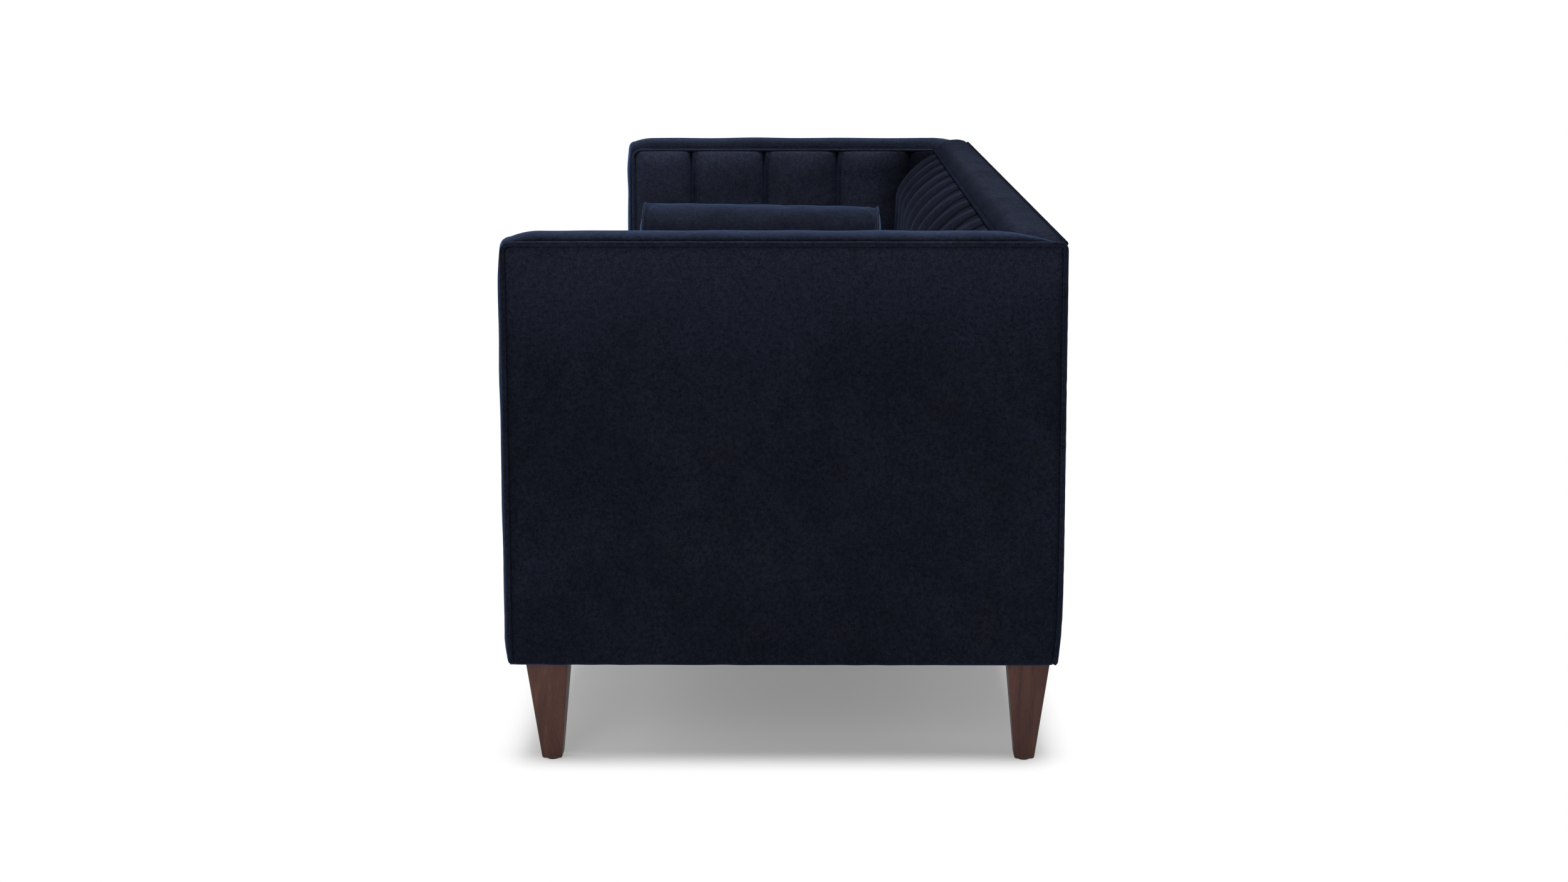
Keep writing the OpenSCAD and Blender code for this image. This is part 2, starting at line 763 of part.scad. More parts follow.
// A closed cord laid just outside the outline, along the cushion's top seam or its lower one
module cushion_welt(at_top) {
    n = len(cushion_outline);
    lift = 0.4*cushion_welt_r;
    rings = [for (i = [0:n - 1])
        let (
            p = cushion_outline[i],
            d = cushion_outline[(i + 1)%n] - cushion_outline[(i + n - 1)%n],
            out = [d[1], -d[0]]/norm(d),
            z = at_top ? cushion_edge_z(p[1]) + lift : cushion_bottom_z + foot_rise - lift
        )
        [for (k = [0:5])
            let (r = cushion_welt_r*(1 + cos(60*k)))
            [p[0] + out[0]*r, p[1] + out[1]*r, z + cushion_welt_r*sin(60*k)]]];
    polyhedron(points = [for (ring = rings, p = ring) p], faces = loop_faces(n, 6));
}

module seat_cushion_welts() {
    color(velvet_top) {
        cushion_welt(true);
        cushion_welt(false);
    }
}

// Bolsters

bolster_z = cushion_top_z(bolster_x, bolster_y) + bolster_r + 0.6;

// Places a shape that lies along Y in a bolster, which tips back with the seat
module in_bolster(side) {
    on_side(side) translate([bolster_x, bolster_y, bolster_z]) rotate([-atan(cushion_pitch), 0, 0])
        rotate([90, 0, 0]) children();
}

// Half outline of a bolster: barrel side and domed ends, less a wall
function bolster_outline(r, end_r, half_l, dome) = concat(
    [for (i = [0:4]) [end_r*sin(22.5*i), -half_l - dome*cos(22.5*i)]],
    [for (i = [1:7]) [end_r + (r - end_r)*(1 - pow(i/4 - 1, 2)), -half_l + i*half_l/4]],
    [for (i = [4:-1:0]) [end_r*sin(22.5*i), half_l + dome*cos(22.5*i)]]);

module bolster_cover(side) {
    outer = bolster_outline(bolster_r, bolster_end_r, bolster_l/2, bolster_dome);
    color(velvet_top) in_bolster(side) rotate_extrude() polygon(concat(
        outer,
        [
            [0, core_half_l],
            [bolster_core_r, core_half_l],
            [bolster_core_r, -core_half_l],
            [0, -core_half_l]
        ]));
}

module bolster_core(side) {
    color(foam) in_bolster(side) translate([0, 0, 0.3 - core_half_l])
        cylinder(r = bolster_core_r - 0.3, h = 2*core_half_l - 0.6);
}

module bolster_welts(side) {
    ring_r = bolster_end_r + 0.7*cushion_welt_r;
    color(velvet_top) in_bolster(side) for (end = [-1, 1])
        translate([0, 0, end*(bolster_l/2 + 0.8*cushion_welt_r)]) rotate_extrude()
            translate([ring_r, 0]) circle(cushion_welt_r, $fn = 24);
}

// Legs

module at_legs() {
    for (side = [-1, 1], y = [leg_front_y, leg_rear_y]) translate([side*leg_x, y, 0]) children();
}

module eased_square(w) {
    h = w/2;
    c = h - leg_chamfer;
    linear_extrude(0.1) polygon([[h, -c], [h, c], [c, h], [-c, h], [-h, c], [-h, -c], [-c, -h], [c, -h]]);
}

// Square leg that tapers on all sides, a little more on its outer faces, drilled for its bolt
module leg(side, end) {
    y = end < 0 ? leg_front_y : leg_rear_y;
    color(walnut) on_side(side) translate([leg_x, y, 0]) difference() {
        hull() {
            translate([-leg_lean, -end*leg_lean, glide_h]) eased_square(leg_foot);
            translate([0, 0, frame_z - 0.1]) eased_square(leg_top);
        }
        translate([0, 0, bolt_low_z - 2]) cylinder(r = bolt_hole_r, h = frame_z);
    }
}

module hanger_bolts() {
    color(steel) at_legs() translate([0, 0, bolt_low_z]) cylinder(r = bolt_r, h = bolt_top_z - bolt_low_z);
}

module leg_inserts() {
    color(brass) at_legs() translate([0, 0, frame_z]) difference() {
        cylinder(r = insert_r, h = insert_h);
        translate([0, 0, -1]) cylinder(r = bolt_hole_r, h = insert_h + 2);
    }
}

// Round glide under each leg
module glides() {
    color(black_cloth) for (side = [-1, 1], end = [-1, 1]) {
        y = end < 0 ? leg_front_y : leg_rear_y;
        translate([side*(leg_x - leg_lean), y - end*leg_lean, 0]) rotate_extrude()
            polygon([[0, 0], [8.5, 0], [10, 1.5], [10, glide_h], [0, glide_h]]);
    }
}

front_rail();
rear_rail();
side_rail(-1);  // side_rail_left
side_rail(1);  // side_rail_right
seat_back_rail();
seat_stretchers();
corner_blocks();
block_screws();
arm_front_post(-1);  // arm_front_post_left
arm_front_post(1);  // arm_front_post_right
back_corner_post(-1);  // back_corner_post_left
back_corner_post(1);  // back_corner_post_right
arm_top_rail(-1);  // arm_top_rail_left
arm_top_rail(1);  // arm_top_rail_right
arm_tack_rail(-1);  // arm_tack_rail_left
arm_tack_rail(1);  // arm_tack_rail_right
back_top_rail();
back_posts();
back_tack_rails();
seat_springs();
spring_clips();
spring_tie_wires();
back_webbing();
arm_webbing(-1);  // arm_webbing_left
arm_webbing(1);  // arm_webbing_right
deck_pad();
back_pad();
arm_pad(-1);  // arm_pad_left
arm_pad(1);  // arm_pad_right
arm_band(-1);  // arm_band_left
arm_band(1);  // arm_band_right
back_band();
outside_arm(-1);  // outside_arm_left
outside_arm(1);  // outside_arm_right
outside_back();
front_border();
dust_cover();
outer_welt(-1);  // outer_welt_left
outer_welt(1);  // outer_welt_right
inner_welt(-1);  // inner_welt_left
inner_welt(1);  // inner_welt_right
back_outer_welt();
back_inner_welt();
seat_cushion_cover();
seat_cushion_core();
seat_cushion_welts();
bolster_cover(-1);  // bolster_cover_left
bolster_cover(1);  // bolster_cover_right
bolster_core(-1);  // bolster_core_left
bolster_core(1);  // bolster_core_right
bolster_welts(-1);  // bolster_welts_left
bolster_welts(1);  // bolster_welts_right
leg(-1, -1);  // leg_front_left
leg(1, -1);  // leg_front_right
leg(-1, 1);  // leg_rear_left
leg(1, 1);  // leg_rear_right
hanger_bolts();
leg_inserts();
glides();
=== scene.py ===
import bpy
import numpy as np
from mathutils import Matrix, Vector


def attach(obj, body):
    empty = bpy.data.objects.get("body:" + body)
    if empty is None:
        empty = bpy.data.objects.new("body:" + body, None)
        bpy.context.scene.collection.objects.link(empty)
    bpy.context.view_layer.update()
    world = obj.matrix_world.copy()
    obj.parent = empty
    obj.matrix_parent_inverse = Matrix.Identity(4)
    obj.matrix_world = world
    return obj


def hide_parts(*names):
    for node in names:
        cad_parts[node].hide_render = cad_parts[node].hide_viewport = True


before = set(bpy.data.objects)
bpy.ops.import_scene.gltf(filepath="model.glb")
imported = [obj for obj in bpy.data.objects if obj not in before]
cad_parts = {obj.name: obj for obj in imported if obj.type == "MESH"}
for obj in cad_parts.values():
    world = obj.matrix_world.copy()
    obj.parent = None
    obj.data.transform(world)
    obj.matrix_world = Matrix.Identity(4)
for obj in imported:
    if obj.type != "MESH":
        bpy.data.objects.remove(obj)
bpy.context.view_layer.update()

# Main planes of the sofa in millimetres, measured out from its middle and up from the floor
sofa = {
    "foot": 160.0,           # underside of the body
    "seamHeight": 795.0,     # level of the outside top seams
    "frontSeam": -408.0,     # y of the front seams
    "rearWelt": 415.75,      # y of the rear welts
    "bandOutX": 1060.5,      # outer edge of an arm band
    "bandInX": 983.5,        # inner edge of an arm band
    "bandRear": 412.5,       # y of the back band's rear edge
    "bandInner": 333.0,      # y of the back band's inner edge
    "rearWood": 410.6,       # y of the wood behind the outside back
    "deck": 306.0,
    "padTop": 780.0,
}
metresPerMillimetre = 0.001
sides = ((-1, "Left"), (1, "Right"))


# Arithmetic that the padding shares

def swell(u, power):
    # 1 half way across a span and 0 at both of its ends
    return 1 - np.abs(2*u - 1)**power


def sink(d, drop, reach):
    # Full drop at distance 0, easing to nothing at reach
    return drop*np.maximum(0, 1 - d/reach)**2


def fall(d, reach):
    # 1 at distance 0, a third of it at reach, and so on outwards
    return np.exp(-np.maximum(d, 0)/reach)


def ripple(a, b, size, seed, heading=None, spread=0.5, count=9):
    # Sum of a few plane waves about that long and 1 high, in random directions or close to one heading
    draw = np.random.default_rng(seed)
    total = 0
    for k in range(count):
        angle = draw.uniform(0, 2*np.pi) if heading is None else heading + draw.uniform(-spread, spread)
        turns = (a*np.cos(angle) + b*np.sin(angle))/(size*draw.uniform(0.65, 1.6))
        total = total + np.sin(2*np.pi*(turns + draw.uniform()))
    return total/np.sqrt(count)


def tacked(along, height, depth, reach, pitch, seed):
    # Dents between the staples along the foot of a cloth, fading out above it
    return depth*fall(height, reach)*ripple(along, 0*along, pitch, seed, 0, 0.1)


def edgeSpaced(count, pull=0.35):
    # Even steps from 0 to 1 drawn towards both ends, as t (1 + pull) - pull t^3 about the middle
    t = np.linspace(-1, 1, count)
    return (t*(1 + pull) - pull*t**3 + 1)/2


# Meshes from arrays of points

def gridQuads(rows, cols, joinedCols=False, joinedRows=False):
    # Quads of a grid of points numbered row by row; a joined way closes on itself
    r, c = np.meshgrid(np.arange(rows if joinedRows else rows - 1),
                       np.arange(cols if joinedCols else cols - 1), indexing="ij")
    below = (r + 1) % rows
    right = (c + 1) % cols
    return np.stack([r*cols + c, below*cols + c, below*cols + right, r*cols + right], -1).reshape(-1, 4)


def turnedOut(points, quads, caps):
    # The volume inside is a sixth of the sum of a . (b x c) over all triangles; below 0 it is inside out
    fans = [np.array([[cap[0], cap[k], cap[k + 1]] for k in range(1, len(cap) - 1)]) for cap in caps]
    triangles = np.concatenate([quads[:, [0, 1, 2]], quads[:, [0, 2, 3]]] + fans)
    a, b, c = points[triangles].transpose(1, 0, 2)
    step = 1 if np.einsum("ij,ij->i", a, np.cross(b, c)).sum() > 0 else -1
    return quads[:, ::step], [list(cap)[::step] for cap in caps]


def joined(parts):
    # Several closed shapes as one, each turned the right way out by itself
    points, quads, caps, start = [], [], [], 0
    for got, faces, ends in parts:
        faces, ends = turnedOut(got, faces, ends)
        points.append(got)
        quads.append(faces + start)
        caps += [[k + start for k in cap] for cap in ends]
        start += len(got)
    return np.concatenate(points), np.concatenate(quads), caps


def makePiece(name, points, quads, caps, body, finish, slotName, stands, fill=None, tone=None):
    # A tone is painted light and shade on the velvet: above 0 it darkens the velvet round that point, as the
    # painted shade deep in a seam, and below 0 it lightens it as a painted highlight
    mesh = bpy.data.meshes.new(name)
    quads, caps = turnedOut(points, quads, caps)
    mesh.from_pydata((points*metresPerMillimetre).tolist(), [], quads.tolist() + caps)
    if tone is not None:
        values = mesh.attributes.new("tone", "FLOAT", "POINT").data
        values.foreach_set("value", tone.astype(np.float32).reshape(-1))
    mesh.polygons.foreach_set("use_smooth", [len(p.vertices) < 5 for p in mesh.polygons])
    mesh.update()
    piece = bpy.data.objects.new(name, mesh)
    bpy.context.scene.collection.objects.link(piece)
    mesh.materials.append(finish)
    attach(piece, body)
    if stands:
        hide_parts(*stands)
    return piece


def skin(rings):
    # Closed rings of points one after another, with a flat cap on the first and the last
    rows, cols = rings.shape[:2]
    caps = [list(range(cols)), list(range(rows*cols - 1, (rows - 1)*cols - 1, -1))]
    return rings.reshape(-1, 3), gridQuads(rows, cols, joinedCols=True), caps


def sheetPair(front, back):
    # Two grids of the same size, face to face, joined round their edges
    rows, cols = front.shape[:2]
    quads = gridQuads(rows, cols)
    number = np.arange(rows*cols).reshape(rows, cols)
    rim = np.concatenate([number[0, :-1], number[:-1, -1], number[-1, :0:-1], number[:0:-1, 0]])
    following = np.roll(rim, -1)
    away = rows*cols
    walls = np.stack([rim, following, following + away, rim + away], 1)
    points = np.concatenate([front.reshape(-1, 3), back.reshape(-1, 3)])
    return points, np.concatenate([quads, quads[:, ::-1] + away, walls]), []


def boxShell(counts):
    # The six sides of a block as one welded grid; each point's place runs from -1 to 1 along each axis
    corners = []
    for axis in range(3):
        a, b = [k for k in range(3) if k != axis]
        i, j = np.meshgrid(np.arange(counts[a]), np.arange(counts[b]), indexing="ij")
        for end in (0, counts[axis]):
            square = np.zeros(i.shape + (4, 3), int)
            for k, (di, dj) in enumerate(((0, 0), (1, 0), (1, 1), (0, 1))):
                square[..., k, a] = i + di
                square[..., k, b] = j + dj
                square[..., k, axis] = end
            square = square.reshape(-1, 4, 3)
            corners.append(square[:, ::-1] if (axis == 1) != (end == 0) else square)
    corners = np.concatenate(corners)
    size = np.array(counts) + 1
    keys = (corners[..., 0]*size[1] + corners[..., 1])*size[2] + corners[..., 2]
    unique, quads = np.unique(keys, return_inverse=True)
    lattice = np.stack([unique//(size[1]*size[2]), unique//size[2] % size[1], unique % size[2]], 1)
    return lattice/np.array(counts)*2 - 1, quads.reshape(-1, 4)


def tube(path, radius, flatNormal, closed=False, sides=14):
    # A round cord along a path that lies in a plane: each ring is centre + r (cos a n + sin a (t x n))
    ahead = np.roll(path, -1, 0) - np.roll(path, 1, 0)
    if not closed:
        ahead[0] = path[1] - path[0]
        ahead[-1] = path[-1] - path[-2]
    ahead /= np.linalg.norm(ahead, axis=1)[:, None]
    normal = np.broadcast_to(np.asarray(flatNormal, float), ahead.shape)
    across = np.cross(ahead, normal)
    turn = np.linspace(0, 2*np.pi, sides, endpoint=False)
    ring = np.cos(turn)[None, :, None]*normal[:, None] + np.sin(turn)[None, :, None]*across[:, None]
    rings = path[:, None] + np.broadcast_to(radius, (len(path),))[:, None, None]*ring
    if closed:
        return rings.reshape(-1, 3), gridQuads(len(path), sides, joinedCols=True, joinedRows=True), []
    return skin(rings)


def walkedAlong(path):
    # Length of the path from its start to each of its points
    return np.concatenate([[0], np.cumsum(np.linalg.norm(np.diff(path, axis=0), axis=1))])


def cordRadius(path, radius, seed):
    # A covered cord is never quite even: its radius wavers by a few hundredths
    walked = walkedAlong(path)
    fine = ripple(walked, 0, 26, seed, heading=0, spread=0.2)
    broad = ripple(walked, 0, 140, seed + 1, heading=0, spread=0.2)
    return radius*(1 + 0.025*fine + 0.02*broad)


def evenly(path, step):
    # The same path with its points about one step apart
    walked = walkedAlong(path)
    stops = np.linspace(0, walked[-1], int(walked[-1]/step) + 2)
    return np.stack([np.interp(stops, walked, path[:, k]) for k in range(3)], 1)


def tuckedEnds(path, radius, reach=3.0):
    # Rounds both ends of an open cord over, so that none ends in a sharp disc
    walked = walkedAlong(path)
    near = np.clip(np.minimum(walked, walked[-1] - walked)/reach, 0.02, 1)
    return radius*np.sqrt(1 - (1 - near)**2)


# Finishes

class Weaver:
    # Lays out nodes: each call adds one and returns the output that the next one reads
    def __init__(self, tree):
        self.tree = tree

    def join(self, value, socket):
        if isinstance(value, bpy.types.NodeSocket):
            self.tree.links.new(value, socket)
        else:
            socket.default_value = value

    def add(self, kind, output, sockets=None, **settings):
        node = self.tree.nodes.new("ShaderNode" + kind)
        for name, value in settings.items():
            setattr(node, name, value)
        for key, value in (sockets or {}).items():
            self.join(value, node.inputs[key])
        return node.outputs[output]

    def stretched(self, scale):
        return self.add("Mapping", "Vector", {"Scale": scale, "Vector": self.place})

    def noise(self, scale, detail=3.0, rough=0.55, twist=0.0, at=None):
        return self.add("TexNoise", "Fac", {"Scale": scale, "Detail": detail, "Roughness": rough,
                                            "Distortion": twist, "Vector": at or self.place})

    def wave(self, scale, twist=0.0, along="X", at=None):
        return self.add("TexWave", "Fac", {"Scale": scale, "Distortion": twist, "Vector": at or self.place},
                        bands_direction=along)

    def spread(self, value, low, high, toLow=0.0, toHigh=1.0):
        return self.add("MapRange", "Result", {"Value": value, "From Min": low, "From Max": high,
                                               "To Min": toLow, "To Max": toHigh})

    def blend(self, share, first, second, how="MIX"):
        first, second = [(*c, 1) if isinstance(c, tuple) else c for c in (first, second)]
        return self.add("Mix", 2, {0: share, 6: first, 7: second}, data_type="RGBA", blend_type=how)

    def math(self, first, how, second):
        return self.add("Math", 0, {0: first, 1: second}, operation=how)

    def bump(self, height, depth, strength=1.0, over=None):
        under = {} if over is None else {"Normal": over}
        return self.add("Bump", "Normal",
                        {"Distance": depth, "Strength": strength, "Height": height, **under})

    def dress(self, colour, roughness=None, normal=None):
        # Joins what was laid out to the shader, and returns the finished material
        for name, output in (("Base Color", colour), ("Roughness", roughness), ("Normal", normal)):
            if output is not None:
                self.tree.links.new(output, self.shader.inputs[name])
        return self.material


def startMaterial(name, colour, roughness, **sockets):
    material = bpy.data.materials.new(name)
    material.use_nodes = True
    weave = Weaver(material.node_tree)
    weave.material = material
    weave.place = weave.add("TexCoord", "Object")
    weave.shader = material.node_tree.nodes["Principled BSDF"]
    weave.shader.inputs["Base Color"].default_value = (*colour, 1)
    weave.shader.inputs["Roughness"].default_value = roughness
    for socket, value in sockets.items():
        weave.shader.inputs[socket.replace("_", " ")].default_value = value
    return weave


def dimmed(colour, share):
    return tuple(share*c for c in colour)


velvetLook = {
    "deep": (0.0065, 0.0075, 0.0122),      # pile seen straight on
    "brushed": (0.0118, 0.0144, 0.0242),   # pile laid the other way
    "worn": (0.0118, 0.0120, 0.0148),      # greyer, pressed patches
    "sheenTint": (0.20, 0.34, 0.72),
    "sheenWeight": 0.36,
    "paintedSeamShade": 0.15,                      # what the painted shade leaves of the colour deep in a seam
    "fleckDark": (0.58, 0.58, 0.60),
    "fleckLight": (1.46, 1.45, 1.42),
    "grainDark": (0.4, 0.4, 0.4),
    "paintedTopLightLevels": (0.62, 0.80),             # metres between which the painted light on the panel grows towards its top
    "paintedTopLightBright": 1.9,
    "patchShare": 0.42,
    "mottleShare": 0.32,
    "brushedAll": 0.13,
    # Noises, each as its scale, detail, roughness and distortion
    "patches": (5.5, 5.0, 0.62, 0.5),
    "mottle": (34.0, 4.0, 0.65, 0.3),
    "pressed": (15.0, 3.0, 0.6, 0.8),
    "grain": (900.0, 2.0, 0.7),
    "flecks": (390.0, 2.0, 0.6, 0.3),
    "tufts": (163.8, 2.0, 0.6, 0.3),
    "wadding": (22.0, 2.0, 0.5),
}


def velvetFinish(name, paintedBrightness=1.0, sheen=1.0, paintedTopLight=0.0, sheenRough=0.36):
    look = velvetLook
    weave = startMaterial(name, look["deep"], 0.92, Specular_IOR_Level=0.0,
                          Sheen_Weight=look["sheenWeight"]*sheen, Sheen_Roughness=sheenRough,
                          Sheen_Tint=(*look["sheenTint"], 1))
    # Broad patches where the pile lies one way or the other, broken up by finer mottling
    patches = weave.spread(weave.noise(*look["patches"]), 0.40, 0.66)
    mottle = weave.spread(weave.noise(*look["mottle"]), 0.36, 0.70)
    lay = weave.math(weave.math(patches, "MULTIPLY", look["patchShare"]), "ADD",
                     weave.math(mottle, "MULTIPLY", look["mottleShare"]))
    lay = weave.math(lay, "ADD", look["brushedAll"])
    pressed = weave.spread(weave.noise(*look["pressed"]), 0.58, 0.76, 0.0, 0.55)
    grain = weave.noise(*look["grain"])
    flecks = weave.spread(weave.noise(*look["flecks"]), 0.36, 0.64)
    tufts = weave.spread(weave.noise(*look["tufts"]), 0.38, 0.62)
    speckled = weave.math(weave.math(flecks, "MULTIPLY", 0.62), "ADD", weave.math(tufts, "MULTIPLY", 0.38))
    # Both colours are scaled by the copy's painted brightness, which stands in for how the light falls on its
    # part
    colour = weave.blend(lay, dimmed(look["deep"], paintedBrightness), dimmed(look["brushed"], paintedBrightness))
    colour = weave.blend(pressed, colour, look["worn"])
    if paintedTopLight > 0:
        # Painted light: the panel is made lighter towards its top, as if lit more from above there
        level = weave.add("SeparateXYZ", "Z", {0: weave.place})
        paintedTopShare = weave.spread(level, *look["paintedTopLightLevels"], 0.0, paintedTopLight)
        colour = weave.blend(paintedTopShare, colour, dimmed(look["brushed"], look["paintedTopLightBright"]))
    fleckTone = weave.blend(speckled, look["fleckDark"], look["fleckLight"])
    grainTone = weave.blend(weave.spread(grain, 0.3, 0.7), look["grainDark"], (1, 1, 1))
    colour = weave.blend(1.0, colour, fleckTone, "MULTIPLY")
    colour = weave.blend(0.55, colour, grainTone, "MULTIPLY")
    # A piece's tone is painted light and shade: it works as a power of the painted seam shade, so that 1 is
    # as dark as the painted shade in a seam gets and below 0 it is a painted highlight
    tone = weave.add("Attribute", "Fac", attribute_name="tone")
    share = weave.math(look["paintedSeamShade"], "POWER", tone)
    grey = weave.add("CombineXYZ", 0, {0: share, 1: share, 2: share})
    colour = weave.blend(1.0, colour, grey, "MULTIPLY")
    # Pile, the dents among it, and the slight unevenness of the wadding under the cloth
    soft = weave.bump(weave.noise(*look["wadding"]), 0.004, 0.35)
    dents = weave.bump(mottle, 0.0012, 0.4, soft)
    pile = weave.bump(grain, 0.0006, 0.8, dents)
    return weave.dress(colour, weave.spread(lay, 0, 1, 0.98, 0.84), pile)


def plainCloth(name, colour, thread, scale, sheen=0.1):
    # Plain weave: two sets of waves at right angles, one over the other
    weave = startMaterial(name, colour, 0.9, Specular_IOR_Level=0.2, Sheen_Weight=sheen)
    height = weave.math(weave.wave(scale, 0.6, "X"), "MAXIMUM", weave.wave(scale, 0.6, "Y"))
    tone = weave.blend(weave.spread(weave.noise(30.0, 4.0), 0.35, 0.7), colour, thread)
    return weave.dress(weave.blend(height, dimmed(colour, 0.45), tone), weave.spread(height, 0, 1, 0.95, 0.8),
                       weave.bump(height, 0.0005, 0.9))


walnutLook = {
    "dark": (0.030, 0.0100, 0.0070),
    "middle": (0.062, 0.0225, 0.0160),
    "light": (0.096, 0.0370, 0.0265),
    "grainStretch": (26.0, 26.0, 1.7),
}


def walnutFinish():
    look = walnutLook
    weave = startMaterial("walnut", look["middle"], 0.45, Specular_IOR_Level=0.22, Coat_Weight=0.06,
                          Coat_Roughness=0.25)
    along = weave.stretched(look["grainStretch"])
    figure = weave.noise(1.5, 4.0, 0.6, 1.1, along)
    pores = weave.noise(14.0, 3.0, 0.7, 0.2, along)
    fine = weave.noise(60.0, 2.0, 0.6, 0.0, along)
    colour = weave.blend(weave.spread(figure, 0.34, 0.68), look["dark"], look["light"])
    colour = weave.blend(weave.spread(pores, 0.42, 0.62), colour, look["middle"])
    colour = weave.blend(weave.spread(fine, 0.56, 0.72, 0.0, 0.5), colour, look["dark"])
    return weave.dress(colour, weave.spread(pores, 0.3, 0.7, 0.38, 0.56),
                       weave.bump(pores, 0.0004, 0.5, weave.bump(fine, 0.0002, 0.5)))


hardwoodLook = {
    "face": (0.50, 0.33, 0.17),
    "early": (0.40, 0.245, 0.115),
    "late": (0.58, 0.40, 0.22),
    "pore": (0.28, 0.165, 0.075),
    "grainStretch": (3.0, 16.0, 16.0),
}


def hardwoodFinish():
    look = hardwoodLook
    weave = startMaterial("sawnHardwood", look["face"], 0.75, Specular_IOR_Level=0.25)
    along = weave.stretched(look["grainStretch"])
    tone = weave.blend(weave.wave(1.6, 5.0, "DIAGONAL", along), look["early"], look["late"])
    pores = weave.spread(weave.noise(90.0, 3.0, 0.6, 0.0, along), 0.5, 0.7, 0, 0.6)
    sawMarks = weave.wave(160.0, 2.0, "X")
    return weave.dress(weave.blend(pores, tone, look["pore"]), None, weave.bump(sawMarks, 0.0002, 0.4))


foamLook = {"fresh": (0.82, 0.76, 0.55), "aged": (0.74, 0.63, 0.38)}


def foamFinish():
    weave = startMaterial("openFoam", foamLook["fresh"], 0.95, Specular_IOR_Level=0.1)
    age = weave.spread(weave.noise(4.0, 4.0), 0.35, 0.7)
    return weave.dress(weave.blend(age, foamLook["fresh"], foamLook["aged"]), None,
                       weave.bump(weave.noise(700.0, 2.0, 0.7), 0.0012, 0.9))


def metalFinish(name, colour, roughness, streaks):
    weave = startMaterial(name, colour, roughness, Metallic=1.0)
    tarnish = weave.spread(weave.noise(streaks, 4.0, 0.65), 0.35, 0.75)
    return weave.dress(weave.blend(tarnish, colour, dimmed(colour, 0.62)),
                       weave.spread(tarnish, 0, 1, roughness, roughness + 0.22),
                       weave.bump(weave.noise(streaks*9, 2.0), 0.0002, 0.4))


nylonLook = {
    "plain": (0.012, 0.012, 0.013),
    "dark": (0.004, 0.004, 0.0045),
    "scuffed": (0.016, 0.0155, 0.015),
}


def nylonFinish():
    weave = startMaterial("blackNylon", nylonLook["plain"], 0.6, Specular_IOR_Level=0.12)
    scuffs = weave.spread(weave.noise(260.0, 4.0, 0.7, 0.4), 0.5, 0.72)
    return weave.dress(weave.blend(scuffs, nylonLook["dark"], nylonLook["scuffed"]),
                       weave.spread(scuffs, 0, 1, 0.36, 0.62), weave.bump(scuffs, 0.0002, 0.5))


# Copies of the one velvet, each with its own brightness and sheen to suit how the light falls on its part:
# painted light and shade
velvet = velvetFinish("navyVelvet")
velvetPanel = velvetFinish("navyVelvetPanel", paintedTopLight=0.5)
velvetCord = velvetFinish("navyVelvetWelt", paintedBrightness=1.2, sheen=0.7)
velvetCushion = velvetFinish("navyVelvetCushion", paintedBrightness=0.85, sheen=1.15)
velvetInside = velvetFinish("navyVelvetInside", paintedBrightness=1.36, sheen=0.27)
velvetBack = velvetFinish("navyVelvetBack", paintedBrightness=1.08, sheen=0.05, sheenRough=0.25)
velvetBackBand = velvetFinish("navyVelvetBackBand", paintedBrightness=1.02, sheen=0.06)
velvetBackCord = velvetFinish("navyVelvetBackWelt", paintedBrightness=0.5, sheen=0.05)
deckCloth = plainCloth("deckCloth", (0.022, 0.025, 0.034), (0.045, 0.05, 0.065), 420.0)
dustCloth = plainCloth("dustCloth", (0.012, 0.012, 0.013), (0.03, 0.03, 0.031), 260.0)
webCloth = plainCloth("webbing", (0.02, 0.02, 0.022), (0.07, 0.07, 0.075), 210.0)
walnut = walnutFinish()
hardwood = hardwoodFinish()
foam = foamFinish()
springSteel = metalFinish("springSteel", (0.42, 0.43, 0.45), 0.34, 40.0)
insertBrass = metalFinish("insertBrass", (0.62, 0.44, 0.17), 0.32, 60.0)
nylon = nylonFinish()
print("finishes ready")


# Camera, light and floor

camera = {
    "place": (4.0915, 0.063, 1.152),
    "lens": 48.04,
    "pitch": -7.18,          # degrees from level
    "heading": 90.24,        # degrees round from looking along +Y
    "shiftX": -0.0202,
    "shiftY": -0.115,
}


def placeCamera():
    data = bpy.data.cameras.new("camera")
    data.lens = camera["lens"]
    data.sensor_width = 36
    data.shift_x = camera["shiftX"]
    data.shift_y = camera["shiftY"]
    data.clip_start = 0.05
    data.clip_end = 200
    holder = bpy.data.objects.new("camera", data)
    holder.location = camera["place"]
    holder.rotation_euler = (np.radians(90 + camera["pitch"]), 0, np.radians(camera["heading"]))
    bpy.context.scene.collection.objects.link(holder)
    bpy.context.scene.camera = holder


lamps = [
    # name, place, size, watts: each shines at the middle of the seat
    ("overhead", (0.1, -0.05, 3.9), 1.7, 270.0),
    ("fromTheRight", (4.6, -1.4, 2.6), 2.2, 40.0),
    ("fromTheFront", (-0.6, -4.8, 2.6), 2.6, 96.0),
    ("fromBehind", (1.4, 4.4, 2.4), 2.6, 36.0),
    ("fromTheLeft", (-4.8, -0.6, 2.4), 2.2, 34.0),
]
lampTarget = Vector((0.0, 0.0, 0.45))
worldStrength = 0.30
floorLook = {
    "tone": (0.90, 0.90, 0.90),          # colour that it throws back at the sofa
    "paintedShadowGrey": (0.42, 0.42, 0.42),        # painted shadow: the darker colour that the camera sees it in under the sofa
    "lift": 0.240,
    "footprint": (0.985, 0.352, 0.0),    # half sizes of the painted shadow patch
    "fade": 0.10,                        # metres in which the patch turns white
    "size": 40.0,
}


